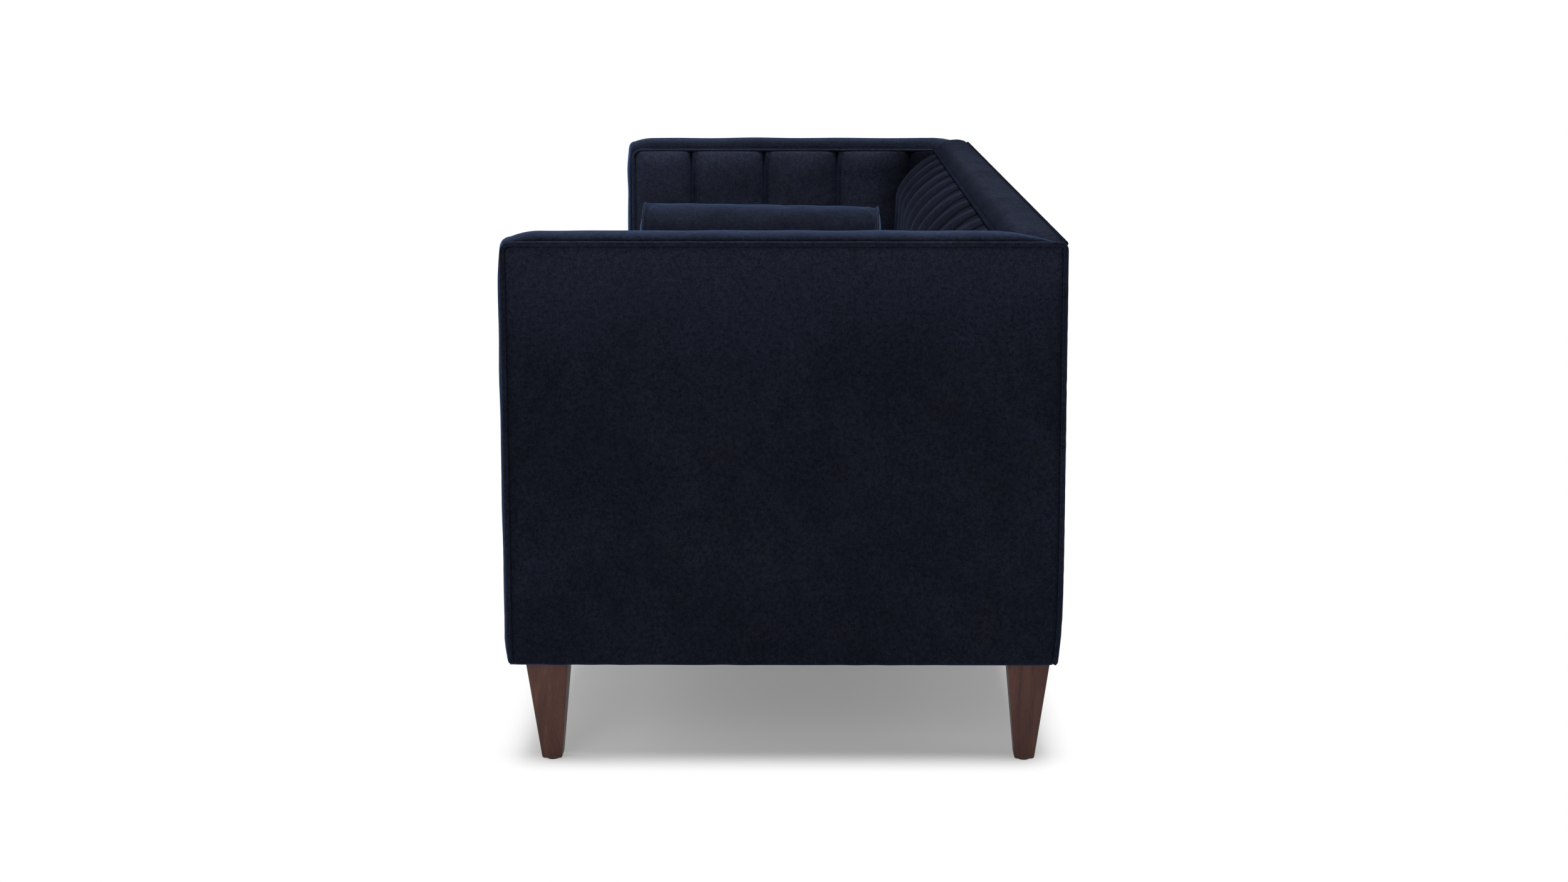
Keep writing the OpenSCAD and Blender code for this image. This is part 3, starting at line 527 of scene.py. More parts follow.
def placeLamps():
    for name, place, size, watts in lamps:
        data = bpy.data.lights.new(name, "AREA")
        data.shape = "DISK"
        data.size = size
        data.energy = watts
        lamp = bpy.data.objects.new(name, data)
        lamp.location = place
        lamp.rotation_euler = (lampTarget - Vector(place)).to_track_quat("-Z", "Y").to_euler()
        bpy.context.scene.collection.objects.link(lamp)


def seenDirectly(weave):
    # 1 for rays straight from the camera, and for those that metal or glass sends on
    path = weave.tree.nodes.new("ShaderNodeLightPath").outputs
    sent = weave.math(path["Is Camera Ray"], "MAXIMUM", path["Is Glossy Ray"])
    return weave.math(sent, "MAXIMUM", path["Is Transmission Ray"])


def lightWorld():
    world = bpy.data.worlds.new("studio")
    bpy.context.scene.world = world
    world.use_nodes = True
    weave = Weaver(world.node_tree)
    background = world.node_tree.nodes["Background"].inputs
    background["Color"].default_value = (1, 1, 1, 1)
    weave.join(weave.spread(seenDirectly(weave), 0, 1, worldStrength, 1.0), background["Strength"])


def layFloor():
    # A square floor, lit near the sofa and fading to the plain white beyond; under the sofa the camera sees
    # it in a darker colour than it throws back, lifted by a glow of its own: a painted shadow over the real
    # one
    look = floorLook
    half = look["size"]/2
    mesh = bpy.data.meshes.new("floor")
    corners = [(-half, -half, 0), (half, -half, 0), (half, half, 0), (-half, half, 0)]
    mesh.from_pydata(corners, [], [(0, 1, 2, 3)])
    floor = bpy.data.objects.new("floor", mesh)
    bpy.context.scene.collection.objects.link(floor)
    weave = startMaterial("paleFloor", look["tone"], 0.9, Specular_IOR_Level=0.1)
    seen = seenDirectly(weave)
    mesh.materials.append(weave.dress(weave.blend(seen, look["tone"], look["paintedShadowGrey"])))
    # Distance out from the painted shadow patch: the length of max(|place| - footprint, 0)
    out = weave.add("VectorMath", "Vector", {0: weave.place}, operation="ABSOLUTE")
    out = weave.add("VectorMath", "Vector", {0: out, 1: look["footprint"]}, operation="SUBTRACT")
    out = weave.add("VectorMath", "Vector", {0: out, 1: (0, 0, 0)}, operation="MAXIMUM")
    distance = weave.add("VectorMath", "Value", {0: out}, operation="LENGTH")
    fade = weave.add("MapRange", "Result", {"Value": distance, "From Max": look["fade"]},
                     interpolation_type="SMOOTHSTEP")
    lift = weave.add("Emission", 0, {"Strength": weave.math(seen, "MULTIPLY", look["lift"])})
    lit = weave.add("AddShader", 0, {0: weave.shader.outputs[0], 1: lift})
    white = weave.add("Emission", 0)
    mixed = weave.add("MixShader", 0, {0: weave.math(fade, "MULTIPLY", seen), 1: lit, 2: white})
    weave.join(mixed, weave.tree.nodes["Material Output"].inputs["Surface"])


placeCamera()
placeLamps()
lightWorld()
layFloor()
bpy.context.scene.view_settings.view_transform = "Standard"
print("camera, lamps and floor in place")


# Outside panels

outsideArm = {
    "faceX": 1063.9, "backX": 1056.0, "setBack": 0.55, "tuck": 3.2, "tuckReach": 4.5, "unevenness": 0.35,
    "frontRound": 8.5, "rearRound": 4.6, "edgeGap": 3.7,
    "fold": 0.45, "foldReach": 60, "foldPitch": 9.5,       # lines dragged from the top rear corner
    "pucker": 0.3, "puckerReach": 7, "puckerSize": 17,
    "tackDepth": 0.7, "tackReach": 28, "tackPitch": 62, "seeds": (11, 21, 31), "seedShift": 5,
}
rearDraw = {"depth": 7.5, "from": 165, "reach": 45}


def rearDrawnIn(z):
    # The rear edge comes in towards its foot, as depth exp(-(z - from)/reach)
    return rearDraw["depth"]*fall(z - rearDraw["from"], rearDraw["reach"])


def topOfPanel(y, low, high, top, frontRound, rearRound):
    # Level of the panel's top edge, which turns down in a quarter circle at each end
    before = np.clip(low + frontRound - y, 0, frontRound)
    after = np.clip(y - high + rearRound, 0, rearRound)
    return (top - frontRound + np.sqrt(frontRound**2 - before**2)
            - rearRound + np.sqrt(rearRound**2 - after**2))


def buildOutsideArm(side, word):
    look = outsideArm
    low = sofa["frontSeam"] + look["edgeGap"]
    high = sofa["rearWelt"] - look["edgeGap"]
    across, up = np.meshgrid(edgeSpaced(190, 0.42), edgeSpaced(170, 0.42), indexing="ij")
    y = low + (high - low)*across
    level = sofa["seamHeight"] - look["edgeGap"]
    top = topOfPanel(y, low, high, level, look["frontRound"], look["rearRound"])
    z = sofa["foot"] + (top - sofa["foot"])*up
    high = high - rearDrawnIn(z)
    y = low + (high - low)*across
    edge = np.minimum(np.minimum(y - low, high - y), top - z)
    # Flat, a little uneven, tucked down beside the welts and turned under at the foot
    seeds = np.array(look["seeds"]) + (look["seedShift"] if side < 0 else 0)
    uneven = look["unevenness"]*(1 - fall(edge, 25))*ripple(y, z, 190, seeds[0])
    behind, above = y - high, z - top.max()
    drag = np.sin((0.78*behind - above)/look["foldPitch"])*(1 - fall(edge, 8))
    folds = look["fold"]*fall(np.hypot(behind, above), look["foldReach"])*drag
    puckers = look["pucker"]*fall(edge, look["puckerReach"])*ripple(y, z, look["puckerSize"], seeds[1])
    rise = z - sofa["foot"]
    dents = tacked(y, rise, look["tackDepth"], look["tackReach"], look["tackPitch"], seeds[2])
    x = look["faceX"] - look["tuck"]*fall(edge, look["tuckReach"]) + uneven + folds + puckers + dents
    x = x - sink(rise, look["tuck"], look["tuckReach"]) - look["setBack"]
    front = np.stack([side*x, y, z], -1)
    back = np.stack([np.full_like(x, side*look["backX"]), y, z], -1)
    makePiece("outsideArm" + word, *sheetPair(front, back), "frame", velvetPanel, "velvet",
              ["outside_arm_" + word.lower()], fill=0.9)


outsideBack = {
    "halfWidth": 1059.6, "besideWelt": 1055.5, "besideWeltY": 412.1, "thinnest": 0.5, "setBack": 0.8,
    "levels": [160, 162, 165, 200, 420, 640, 761, 781, 785.5, 789, 791.5],
    "faces": [412.0, 412.9, 413.75, 415.55, 416.75, 417.7, 417.7, 417.2, 416.6, 415.6, 414.2],
    "unevenness": 0.7, "pucker": 0.35, "tackDepth": 0.7, "sideTuck": 2.6, "sideReach": 4.5,
}


def buildOutsideBack():
    look = outsideBack
    across, up = np.meshgrid(edgeSpaced(330, 0.45), edgeSpaced(150, 0.42), indexing="ij")
    x = look["halfWidth"]*(2*across - 1)
    foot, top = look["levels"][0], look["levels"][-1]
    z = foot + (top - foot)*up
    toSide = look["halfWidth"] - np.abs(x)
    y = np.interp(z, look["levels"], look["faces"]) - look["setBack"]
    y += look["unevenness"]*(1 - fall(np.minimum(toSide, top - z), 30))*ripple(x, z, 260, 41)
    y += look["pucker"]*fall(top - z, 12)*ripple(x, z, 19, 42)
    y += tacked(x, z - sofa["foot"], look["tackDepth"], 34, 75, 43)
    y -= look["sideTuck"]*fall(toSide, look["sideReach"])*np.clip((z - sofa["foot"])/70, 0.1, 1)
    front = np.stack([x, y, z], -1)
    # Its side edges are thin, and lie behind the arm panels and up against their welts
    behind = np.where(np.abs(x) > look["besideWelt"], look["besideWeltY"], sofa["rearWood"])
    back = np.stack([x, np.minimum(behind, y - look["thinnest"]), z], -1)
    makePiece("outsideBack", *sheetPair(front, back), "frame", velvet, "velvet", ["outside_back"], fill=0.9)


def onBothSides(build):
    for side, word in sides:
        build(side, word)


onBothSides(buildOutsideArm)
buildOutsideBack()
print("outside panels made")


# Padded bands

band = {
    "frontSwell": 11.0, "footSwell": 3.5, "topSwell": 15.0, "topDrop": 9.0, "frontDrop": 3.0, "base": 10.0,
    "outerCorner": 12.0, "innerCorner": 23.0, "cornerSink": 4.4, "cornerReach": 60, "puckers": 0.45,
    "waviness": 0.7, "mitreSink": 12.0, "mitreReach": 60, "mitreSeam": 1.8, "grooveDepth": 2.6,
    "grooveReach": 1.7, "topStartSink": 9, "topStartReach": 45, "footTuck": 3.0, "footTuckReach": 4.0,
    "baseX": 1057.2,
    "wood": 3.2,             # how far its hidden side lies inside the seam
    # Painted shade in the groove along each seam and on the side that turns inwards
    "seamPaintedShade": 0.7, "seamPaintedShadeReach": 2.6, "inwardPaintedShade": 0.3,
}


def insetAt(u, h, drop):
    # The inner edge lies lower than the outer by drop, and the padding swells by h between them, full and
    # round near its seams, as (1 - |2u - 1|^2.6)^0.6; a narrow groove runs along both seams
    toSeam = np.minimum(u, 1 - u)*(sofa["bandOutX"] - sofa["bandInX"])
    groove = band["grooveDepth"]*fall(toSeam, band["grooveReach"])
    return drop*np.maximum(0, 2*u - 1)**1.5 - h*swell(u, 2.6)**0.6 + groove


def mitreY(u):
    return sofa["bandRear"] + u*(sofa["bandInner"] - sofa["bandRear"])


def bandX(u):
    # Straight across, but drawn in by a little where the outer welt is sewn on
    width = sofa["bandOutX"] - sofa["bandInX"]
    return sofa["bandOutX"] - u*width - 1.6*fall(u*width, 2.2)


def seamPuckers(u, along, width, seed):
    # Small gathers that stand at right angles to both seams and die out within a finger's width
    nearest = np.minimum(u, 1 - u)*width
    gathers = ripple(along, 6*nearest, 21, seed, 0, 0.25)
    return band["puckers"]*fall(nearest, 9)*(1 - fall(nearest, 1.6))*gathers


def bandPaintedShade(u, rows):
    # Painted shade: dark in the groove along each seam, and dimmer on the side that turns in towards the
    # seat; the three hidden lines of points have no tone
    toSeam = np.minimum(u, 1 - u)*(sofa["bandOutX"] - sofa["bandInX"])
    inward = band["inwardPaintedShade"]*np.clip((u - 0.72)/0.2, 0, 1)
    tone = np.maximum(inward, band["seamPaintedShade"]*fall(toSeam, band["seamPaintedShadeReach"]))
    line = np.concatenate([[[0, 0]], tone, [[0]]], 1)
    return np.broadcast_to(line, (rows, line.shape[1]))


def buildArmBand(side, word):
    look = band
    seed = 50 if side > 0 else 60
    seamY, seamZ = sofa["frontSeam"], sofa["seamHeight"]
    u = edgeSpaced(57, 0.40)[None, :]
    corner = look["outerCorner"] + (look["innerCorner"] - look["outerCorner"])*u**3
    width = sofa["bandOutX"] - sofa["bandInX"]
    x = bandX(u)
    topInsetAtCorner = insetAt(u, look["topSwell"] - look["topStartSink"], look["topDrop"])
    frontInsetAtCorner = insetAt(u, look["frontSwell"] - look["cornerSink"], look["frontDrop"])

    # Up the front, from the foot to where the corner starts
    topOfFront = seamZ - topInsetAtCorner - corner
    share = edgeSpaced(170, 0.45)[:, None]
    z = sofa["foot"] + share*(topOfFront - sofa["foot"])
    rise = z - sofa["foot"]
    h = look["footSwell"] + (look["frontSwell"] - look["footSwell"])*np.minimum(1, rise/34)**0.5
    h = h - sink(topOfFront - z, look["cornerSink"], look["cornerReach"])
    h = h + look["waviness"]*ripple(z, 40*u, 120, seed)*np.minimum(1, rise/60)*swell(u, 2)
    y = seamY + insetAt(u, h, look["frontDrop"]) - seamPuckers(u, z, width, seed + 1)
    y = y + sink(rise, look["footTuck"], look["footTuckReach"])
    upFront = np.stack(np.broadcast_arrays(x, y, z), -1)

    # Round the corner, a quarter circle whose radius grows towards the inner edge
    turn = np.radians(np.linspace(0, 90, 19)[1:-1])[:, None]
    gather = 0.4*np.sin(9*turn + 3*u)*np.sin(2*turn)*(fall(u*width, 10) + fall((1 - u)*width, 12))
    y = seamY + frontInsetAtCorner + corner*(1 - np.cos(turn)) - gather
    z = seamZ - topInsetAtCorner - corner*(1 - np.sin(turn)) + gather
    bend = np.stack(np.broadcast_arrays(x, y, z), -1)

    # Back along the top to the mitre, where it sinks into the seam
    startY = seamY + frontInsetAtCorner + corner
    share = edgeSpaced(200, 0.45)[:, None]
    y = startY + share*(mitreY(u) - startY)
    toMitre = mitreY(u) - y
    h = look["topSwell"] - sink(y - startY, look["topStartSink"], look["topStartReach"])
    h = h - sink(toMitre, look["mitreSink"], look["mitreReach"])
    h = h + look["waviness"]*ripple(y, 40*u, 130, seed + 2)*swell(u, 2)*(1 - fall(y - startY, 30))
    crossFolds = 0.5*fall(toMitre, 60)*ripple(y + 30*u, 0*y, 24, seed + 3, 0, 0.1)*swell(u, 3)
    z = seamZ - insetAt(u, h, look["topDrop"]) + seamPuckers(u, y, width, seed + 4) + crossFolds
    z = z - look["mitreSeam"]*fall(toMitre, 2.2)*swell(u, 6)
    alongTop = np.stack(np.broadcast_arrays(x, y, z), -1)

    face = np.concatenate([upFront, bend, alongTop])
    # The hidden underside: three lines on the wood, two at the outer edge and one at the inner
    under = face[:, [0, 0, -1]].copy()
    front, past = len(upFront), len(upFront) + len(bend)
    lift = np.array([look["wood"], look["base"], look["base"]])
    bendLift = 12
    under[:, :2, 0] = look["baseX"]
    under[:front, :, 1] = seamY + lift
    under[past:, :, 2] = seamZ - lift
    slant = np.linspace(0, 1, past - front + 2)[1:-1, None]
    under[front:past, :, 1] = seamY + lift + bendLift*slant
    under[front:past, :, 2] = seamZ - lift - bendLift*(1 - slant)
    under[:front, :, 2] = np.minimum(under[:front, :, 2], seamZ - lift - bendLift)
    under[past:, :2, 1] = np.minimum(under[past:, :2, 1], sofa["rearWood"])
    rings = np.concatenate([under[:, 1:2], under[:, 0:1], face, under[:, 2:3]], 1)
    rings[..., 0] *= side
    makePiece("armBand" + word, *skin(rings), "frame", velvet, "velvet", ["arm_band_" + word.lower()],
              fill=0.9, tone=bandPaintedShade(u, len(rings)))


def acrossCreases(along, u, seed, count, half):
    # Narrow creases that start at the outer seam, run across the padding on a slight curve and die out
    draw = np.random.default_rng(seed)
    depth = 0
    for k in range(count):
        start = half*(2*(k + draw.uniform(0.1, 0.9))/count - 1)
        lean, bow = draw.uniform(-14, 14), draw.uniform(-10, 10)
        reach, width = draw.uniform(0.3, 0.85), draw.uniform(1.3, 2.6)
        aside = along - start - lean*u - bow*u*(1 - u)*4
        depth = depth + draw.uniform(0.25, 0.95)*np.exp(-(aside/width)**2)*np.clip(1 - u/reach, 0, 1)**0.5
    return depth


def buildBackBand():
    look = band
    seamZ = sofa["seamHeight"]
    u = edgeSpaced(49, 0.40)[None, :]
    width = sofa["bandRear"] - sofa["bandInner"]
    share = edgeSpaced(1000, 0.20)[:, None]
    half = bandX(u)
    x = half*(2*share - 1)
    toMitre = half - np.abs(x)
    h = look["topSwell"] - sink(toMitre, look["mitreSink"], look["mitreReach"])
    h = h + look["waviness"]*ripple(x, 40*u, 150, 71)*swell(u, 2)
    z = seamZ - insetAt(u, h, look["topDrop"]) + seamPuckers(u, x, width, 72)
    # Fine creases run across the band, deeper towards its rear edge
    z = z + 0.4*ripple(x + 26*u**2, 0*x, 26, 73, 0, 0.12)*swell(u, 3)*(1 - 0.75*u)
    z = z - acrossCreases(x, u, 74, 96, 1040)*np.minimum(1, toMitre/40)*swell(u, 8)
    z = z - look["mitreSeam"]*fall(toMitre, 2.2)*swell(u, 6)
    y = np.broadcast_to(mitreY(u), x.shape)
    face = np.stack([x, y, np.broadcast_to(z, x.shape)], -1)
    under = face[:, [0, 0, -1]].copy()
    under[:, 0, 1:] = (sofa["rearWood"], seamZ - look["base"])
    under[:, 1, 1:] = (sofa["rearWood"], seamZ - look["wood"])
    under[:, :2, 0] *= look["baseX"]/half[0, 0]
    under[:, 2, 2] = seamZ - look["base"]
    rings = np.concatenate([under[:, :2], face, under[:, 2:]], 1)
    makePiece("backBand", *skin(rings), "frame", velvetBackBand, "velvet", ["back_band"], fill=0.9,
              tone=bandPaintedShade(u, len(rings)))


onBothSides(buildArmBand)
buildBackBand()
print("bands made")


# Channelled padding

padFoot = 0.3               # gap between the padding's lower edge and the deck
tuckedUp = 4.8              # how far its hidden side reaches above its face


def makePad(name, face, behind, tone, finish, stands):
    # Closes a channelled face with its two hidden lines of points, at the back's foot and at its top
    tone = np.concatenate([np.zeros((len(face), 2)), np.broadcast_to(tone, face.shape[:2])], 1)
    makePiece(name, *skin(np.concatenate([behind, face], 1)), "frame", finish, "velvet", stands, fill=0.85,
              tone=tone)


backPad = {
    "channels": 12, "halfWidth": 959.5, "backY": 351.5, "rollHeight": 100.0, "rollY": 234.0, "roll": 102.0,
    "rake": 0.07, "swell": 15.0, "crease": 5.0, "creaseReach": 3.2, "columnsPerChannel": 34, "rows": 120,
    "pull": 0.8, "softness": 0.9, "wander": 1.1,
    # Painted shade in the seams, at the ends by the arms and where the padding turns upwards, and a painted
    # highlight along each crest
    "seamPaintedShade": 0.9, "crestPaintedHighlight": -0.36, "endPaintedShade": 0.5, "upwardPaintedShade": 0.38,
}


def buildBackPad():
    look = backPad
    count, top = look["channels"], sofa["padTop"]
    wide = 2*look["halfWidth"]/count
    share = edgeSpaced(look["columnsPerChannel"] + 1, 0.42)[:-1]
    place = (np.arange(count)[:, None] + share).reshape(-1)
    place = np.append(place, count)[:, None]
    number = np.minimum(np.floor(place), count - 1)
    c = place - number
    drop = (np.linspace(0, 1, look["rows"])**1.35)[None, :]*(top - sofa["deck"] - padFoot)
    z = top - drop
    t = np.clip((z - top + look["rollHeight"])/look["rollHeight"], 0, 1)
    roll = look["roll"]*(1 - (1 - t**1.5)**(2/3))
    rake = -look["rake"]*np.maximum(0, top - look["rollHeight"] - z)
    fade = 1 - t**3
    nearest = np.minimum(c, 1 - c)*wide
    outer = np.minimum(place, count - place)*wide
    # Each channel is filled a little differently, and its seams wander by a millimetre
    fullness = 1 + 0.06*np.sin(7.3*number + 1.1)
    y = look["rollY"] + rake + roll + look["swell"]*(1 - fullness*swell(c, 2.2))*fade
    seam = look["crease"]*fall(nearest, look["creaseReach"])*np.maximum(fade, 0.45)
    gathers = ripple(z, 13*np.round(place), 34, 81, 0, 0.1)*fade
    pull = look["pull"]*fall(nearest, 13)*(1 - fall(nearest, 3))*gathers
    soft = look["softness"]*ripple(z, 90*number, 150, 82, 0, 0.4)*swell(c, 2)*fade
    y = y + seam + pull + soft
    straightX = look["halfWidth"] - place*wide
    wander = look["wander"]*fall(nearest, 20)*ripple(z, 50*np.round(place), 160, 83, 0, 0.2)
    x = straightX + wander*np.minimum(1, outer/20)
    face = np.stack(np.broadcast_arrays(x, y, z), -1)
    behind = face[:, [0, 0]].copy()
    behind[:, :, 0] = straightX
    behind[:, 0, 1:] = (look["backY"], sofa["deck"] + 0.2)
    behind[:, 1, 1:] = (look["backY"], top + tuckedUp)
    # Painted shade deep in each seam, and a painted highlight along the crest of each channel
    tone = look["seamPaintedShade"]*fall(nearest, 7) + look["crestPaintedHighlight"]*np.exp(-((c - 0.5)/0.11)**2)
    # Painted shade at the ends by the arms, and where the padding turns upwards, to take down the light from
    # overhead there
    steep = np.gradient(roll, axis=1)/np.gradient(z, axis=1)
    upward = steep/np.sqrt(1 + steep**2)
    tone = tone + look["endPaintedShade"]*fall(outer, 60) + look["upwardPaintedShade"]*np.clip((upward - 0.05)/0.6, 0, 1)
    makePad("backPad", face, behind, tone, velvetBack, ["back_pad"])


armPad = {
    "front": -397.8, "rear": 344.0, "first": 137.0, "wide": 177.0, "seamX": 984.0, "backX": 999.5,
    "swell": 24.0, "least": 0.36,        # share of the swell that is left at the top
    "roll": 48.0, "cornerRound": 20.0, "crease": 9.0, "creaseReach": 1.5, "rearSeamShare": 0.25,
    "columnsPerChannel": 44, "rows": 120,
    "pleat": 2.4, "pleatAside": 7.5, "pleatFan": 9, "ridge": 1.2, "ridgeAside": 3.8, "pull": 0.7,
    "softness": 1.0,
    # Painted shade in the seams, beside the pleats and towards the corner by the back
    "seamPaintedShade": 0.5, "pleatPaintedShade": 0.3, "rearPaintedShade": 0.75,
}


def buildArmPad(side, word):
    look = armPad
    seed = 90 if side > 0 else 100
    seams = look["front"] + np.array([0, look["first"], *(look["first"] + look["wide"]*np.arange(1, 5))])
    steps = edgeSpaced(look["columnsPerChannel"] + 1, 0.45)[:-1]
    y = np.concatenate([a + (b - a)*steps for a, b in zip(seams[:-1], seams[1:])])
    y = np.append(y[y < look["rear"]], look["rear"])[:, None]
    number = np.clip(np.searchsorted(seams, y, side="right") - 1, 0, len(seams) - 2)
    c = (y - seams[number])/(seams[number + 1] - seams[number])
    before = np.maximum(0, look["front"] + look["cornerRound"] - y)
    top = sofa["padTop"] - look["cornerRound"] + np.sqrt(np.maximum(0, look["cornerRound"]**2 - before**2))
    drop = (np.linspace(0, 1, look["rows"])**1.5)[None, :]*(top - sofa["deck"] - padFoot)
    z = top - drop
    dome = np.sqrt(1 - np.maximum(0, 1 - drop/look["roll"])**2)
    x = look["seamX"] - look["swell"]*swell(c, 3.4)*(look["least"] + (1 - look["least"])*dome)
    # A pulled pleat beside each seam, which fans out under the top welt
    apart = y - seams[1:5, None, None]
    toSeam = np.abs(apart).min(0)
    signed = y - seams[1:5][np.abs(apart).argmin(0)]
    fan = look["pleatFan"]*fall(drop, 22)
    sewn = np.where(np.abs(y - seams[4]) < look["wide"]/2, look["rearSeamShare"], 1)
    pleat = fall(np.abs(signed - look["pleatAside"] - fan), 1.6)*np.minimum(1, drop/3)*sewn
    x = x + look["crease"]*fall(toSeam, look["creaseReach"])*sewn + look["pleat"]*pleat
    x = x - look["ridge"]*fall(np.abs(signed - look["ridgeAside"] - 0.5*fan), 2.4)*sewn
    x = x + look["pull"]*fall(toSeam, 15)*(1 - fall(toSeam, 3))*ripple(z, 0.6*y, 33, seed, 0, 0.3)
    x = x + look["softness"]*ripple(z, y, 130, seed + 1)*swell(c, 2)*dome
    # Painted shade deep in each seam and beside each pleat, and more of it towards the corner by the back
    tone = look["seamPaintedShade"]*fall(toSeam, 2.4)*sewn + look["pleatPaintedShade"]*pleat
    tone = tone + look["rearPaintedShade"]*np.clip((y - 160)/120, 0, 1)**1.5
    face = np.stack(np.broadcast_arrays(side*x, y, z), -1)
    behind = face[:, [0, 0]].copy()
    behind[:, :, 0] = side*look["backX"]
    behind[:, 0, 2] = sofa["deck"] + 0.2
    behind[:, 1, 2] = top[:, 0] + tuckedUp
    makePad("armPad" + word, face, behind, tone, velvetInside, ["arm_pad_" + word.lower()])


buildBackPad()
onBothSides(buildArmPad)
print("channelled padding made")


# Front border and deck

frontBorder = {
    "half": 983.0, "face": -409.2, "round": 13.0, "lipRear": -346.0, "lipLow": 290.0, "woodY": -398.0,
    "softness": 0.8, "tackDepth": 0.8, "tackReach": 25, "tackPitch": 58, "crown": 2.4,
}


def buildFrontBorder():
    look = frontBorder
    low, deck = sofa["foot"], sofa["deck"]
    levels = low + (deck - look["round"] - low)*edgeSpaced(60, 0.45)
    turn = np.radians(np.linspace(0, 90, 14)[1:])
    rounded = look["face"] + look["round"]
    over = rounded + np.linspace(0, 1, 14)[1:]*(look["lipRear"] - look["face"] - look["round"])
    faceY = np.concatenate([np.full(60, look["face"]), look["face"] + look["round"]*(1 - np.cos(turn)), over])
    faceZ = np.concatenate([levels, deck - look["round"]*(1 - np.sin(turn)), np.full(13, deck - 0.2)])
    hidden = np.array([[look["lipRear"], look["lipLow"]], [look["woodY"], look["lipLow"]],
                       [look["woodY"], low]])
    along = look["half"]*(2*edgeSpaced(300, 0.35) - 1)[:, None]
    soft = look["softness"]*ripple(along, faceZ[None], 160, 111)*fall(np.abs(faceZ[None] - 225), 60)
    dents = tacked(along, faceZ[None] - low, look["tackDepth"], look["tackReach"], look["tackPitch"], 112)
    crown = look["crown"]*swell(np.clip((faceZ - low)/(deck - low), 0, 1), 3)[None]
    y = faceY[None] - (soft + dents + crown)*(faceY[None] < rounded) + sink(faceZ[None] - low, 3, 4)
    face = np.stack(np.broadcast_arrays(along, y, faceZ[None]), -1)
    back = np.broadcast_to(hidden, (len(along), 3, 2))
    back = np.concatenate([np.broadcast_to(along[..., None], (len(along), 3, 1)), back], -1)
    makePiece("frontBorder", *skin(np.concatenate([face, back], 1)), "frame", velvet, "velvet",
              ["front_border"], fill=0.9)


deckPad = {"half": 957.5, "front": -345.7, "rear": 249.7, "low": 290.2, "high": 305.8, "stitchRows": 5,
           "stitchDepth": 2.2, "stitchReach": 6, "edgeDrop": 4, "edgeReach": 12, "lower": 0.8,
           "unevenness": 0.5}


def buildDeckPad():
    # A flat quilted pad: rounded edges, and shallow valleys along its rows of stitching
    look = deckPad
    place, quads = boxShell((260, 110, 6))
    a, b, c = place.T
    halfY = (look["rear"] - look["front"])/2
    x = look["half"]*a
    y = (look["rear"] + look["front"])/2 + halfY*b
    edge = np.minimum(look["half"] - np.abs(x), halfY*(1 - np.abs(b)))
    rowShare = (b + 1)/2*look["stitchRows"] % 1
    toStitch = np.minimum(rowShare, 1 - rowShare)*2*halfY/look["stitchRows"]
    valley = look["stitchDepth"]*fall(toStitch, look["stitchReach"])
    rim = sink(edge, look["edgeDrop"], look["edgeReach"])
    high = look["high"] - np.where(edge > 2, valley, 0) - rim - look["lower"]
    high = high - look["unevenness"]*ripple(x, y, 90, 121)
    z = look["low"] + (high - look["low"])*(c + 1)/2
    makePiece("deckPad", np.stack([x, y, z], 1), quads, [], "frame", deckCloth, "deck_cloth", ["deck_pad"],
              fill=0.5)


buildFrontBorder()
buildDeckPad()
print("front border and deck made")


# Welts

outerWelt = {"x": 1063.35, "radius": 3.65, "frontRound": 12, "rearRound": 8, "straightTop": 760,
             "frontTuck": 3.2, "tuckReach": 14.0, "flangeX": 1058.2, "flangeDepth": 5.2,
             "flangeThickness": 0.7, "backHalf": 1060.3}
innerWelt = {"x": 980.5, "radius": 3.4, "round": 20, "front": -401.5, "rear": 326.8, "below": 11.6,
             "backY": 330}


def arc(centreY, centreZ, radius, start, stop, x):
    # Part of a circle in the plane of y and z, in degrees from +y towards +z
    turn = np.radians(np.linspace(start, stop, 13))
    return np.stack([np.full(13, x), centreY + radius*np.cos(turn), centreZ + radius*np.sin(turn)], 1)


def flangeOf(path, side):
    # The flat edge of the cord's cover, sewn in between the panels: from the cord inwards to flangeX
    ahead = np.gradient(path, axis=0)
    ahead /= np.linalg.norm(ahead, axis=1)[:, None]
    inner = path + outerWelt["flangeDepth"]*np.stack([0*ahead[:, 0], ahead[:, 2], -ahead[:, 1]], 1)
    inner[:, 0] = side*outerWelt["flangeX"]
    near = np.stack([path, inner], 1)
    return sheetPair(near, near - np.array([side*outerWelt["flangeThickness"], 0, 0]))


def addWelt(name, path, radius, flatNormal, stands, seed, finish=velvetCord, flangeSide=0):
    path = evenly(np.asarray(path, float), 4.0)
    parts = [tube(path, tuckedEnds(path, cordRadius(path, radius, seed)), flatNormal)]
    if flangeSide:
        parts.append(flangeOf(path, flangeSide))
    makePiece(name, *joined(parts), "frame", finish, "velvet_welt", stands)


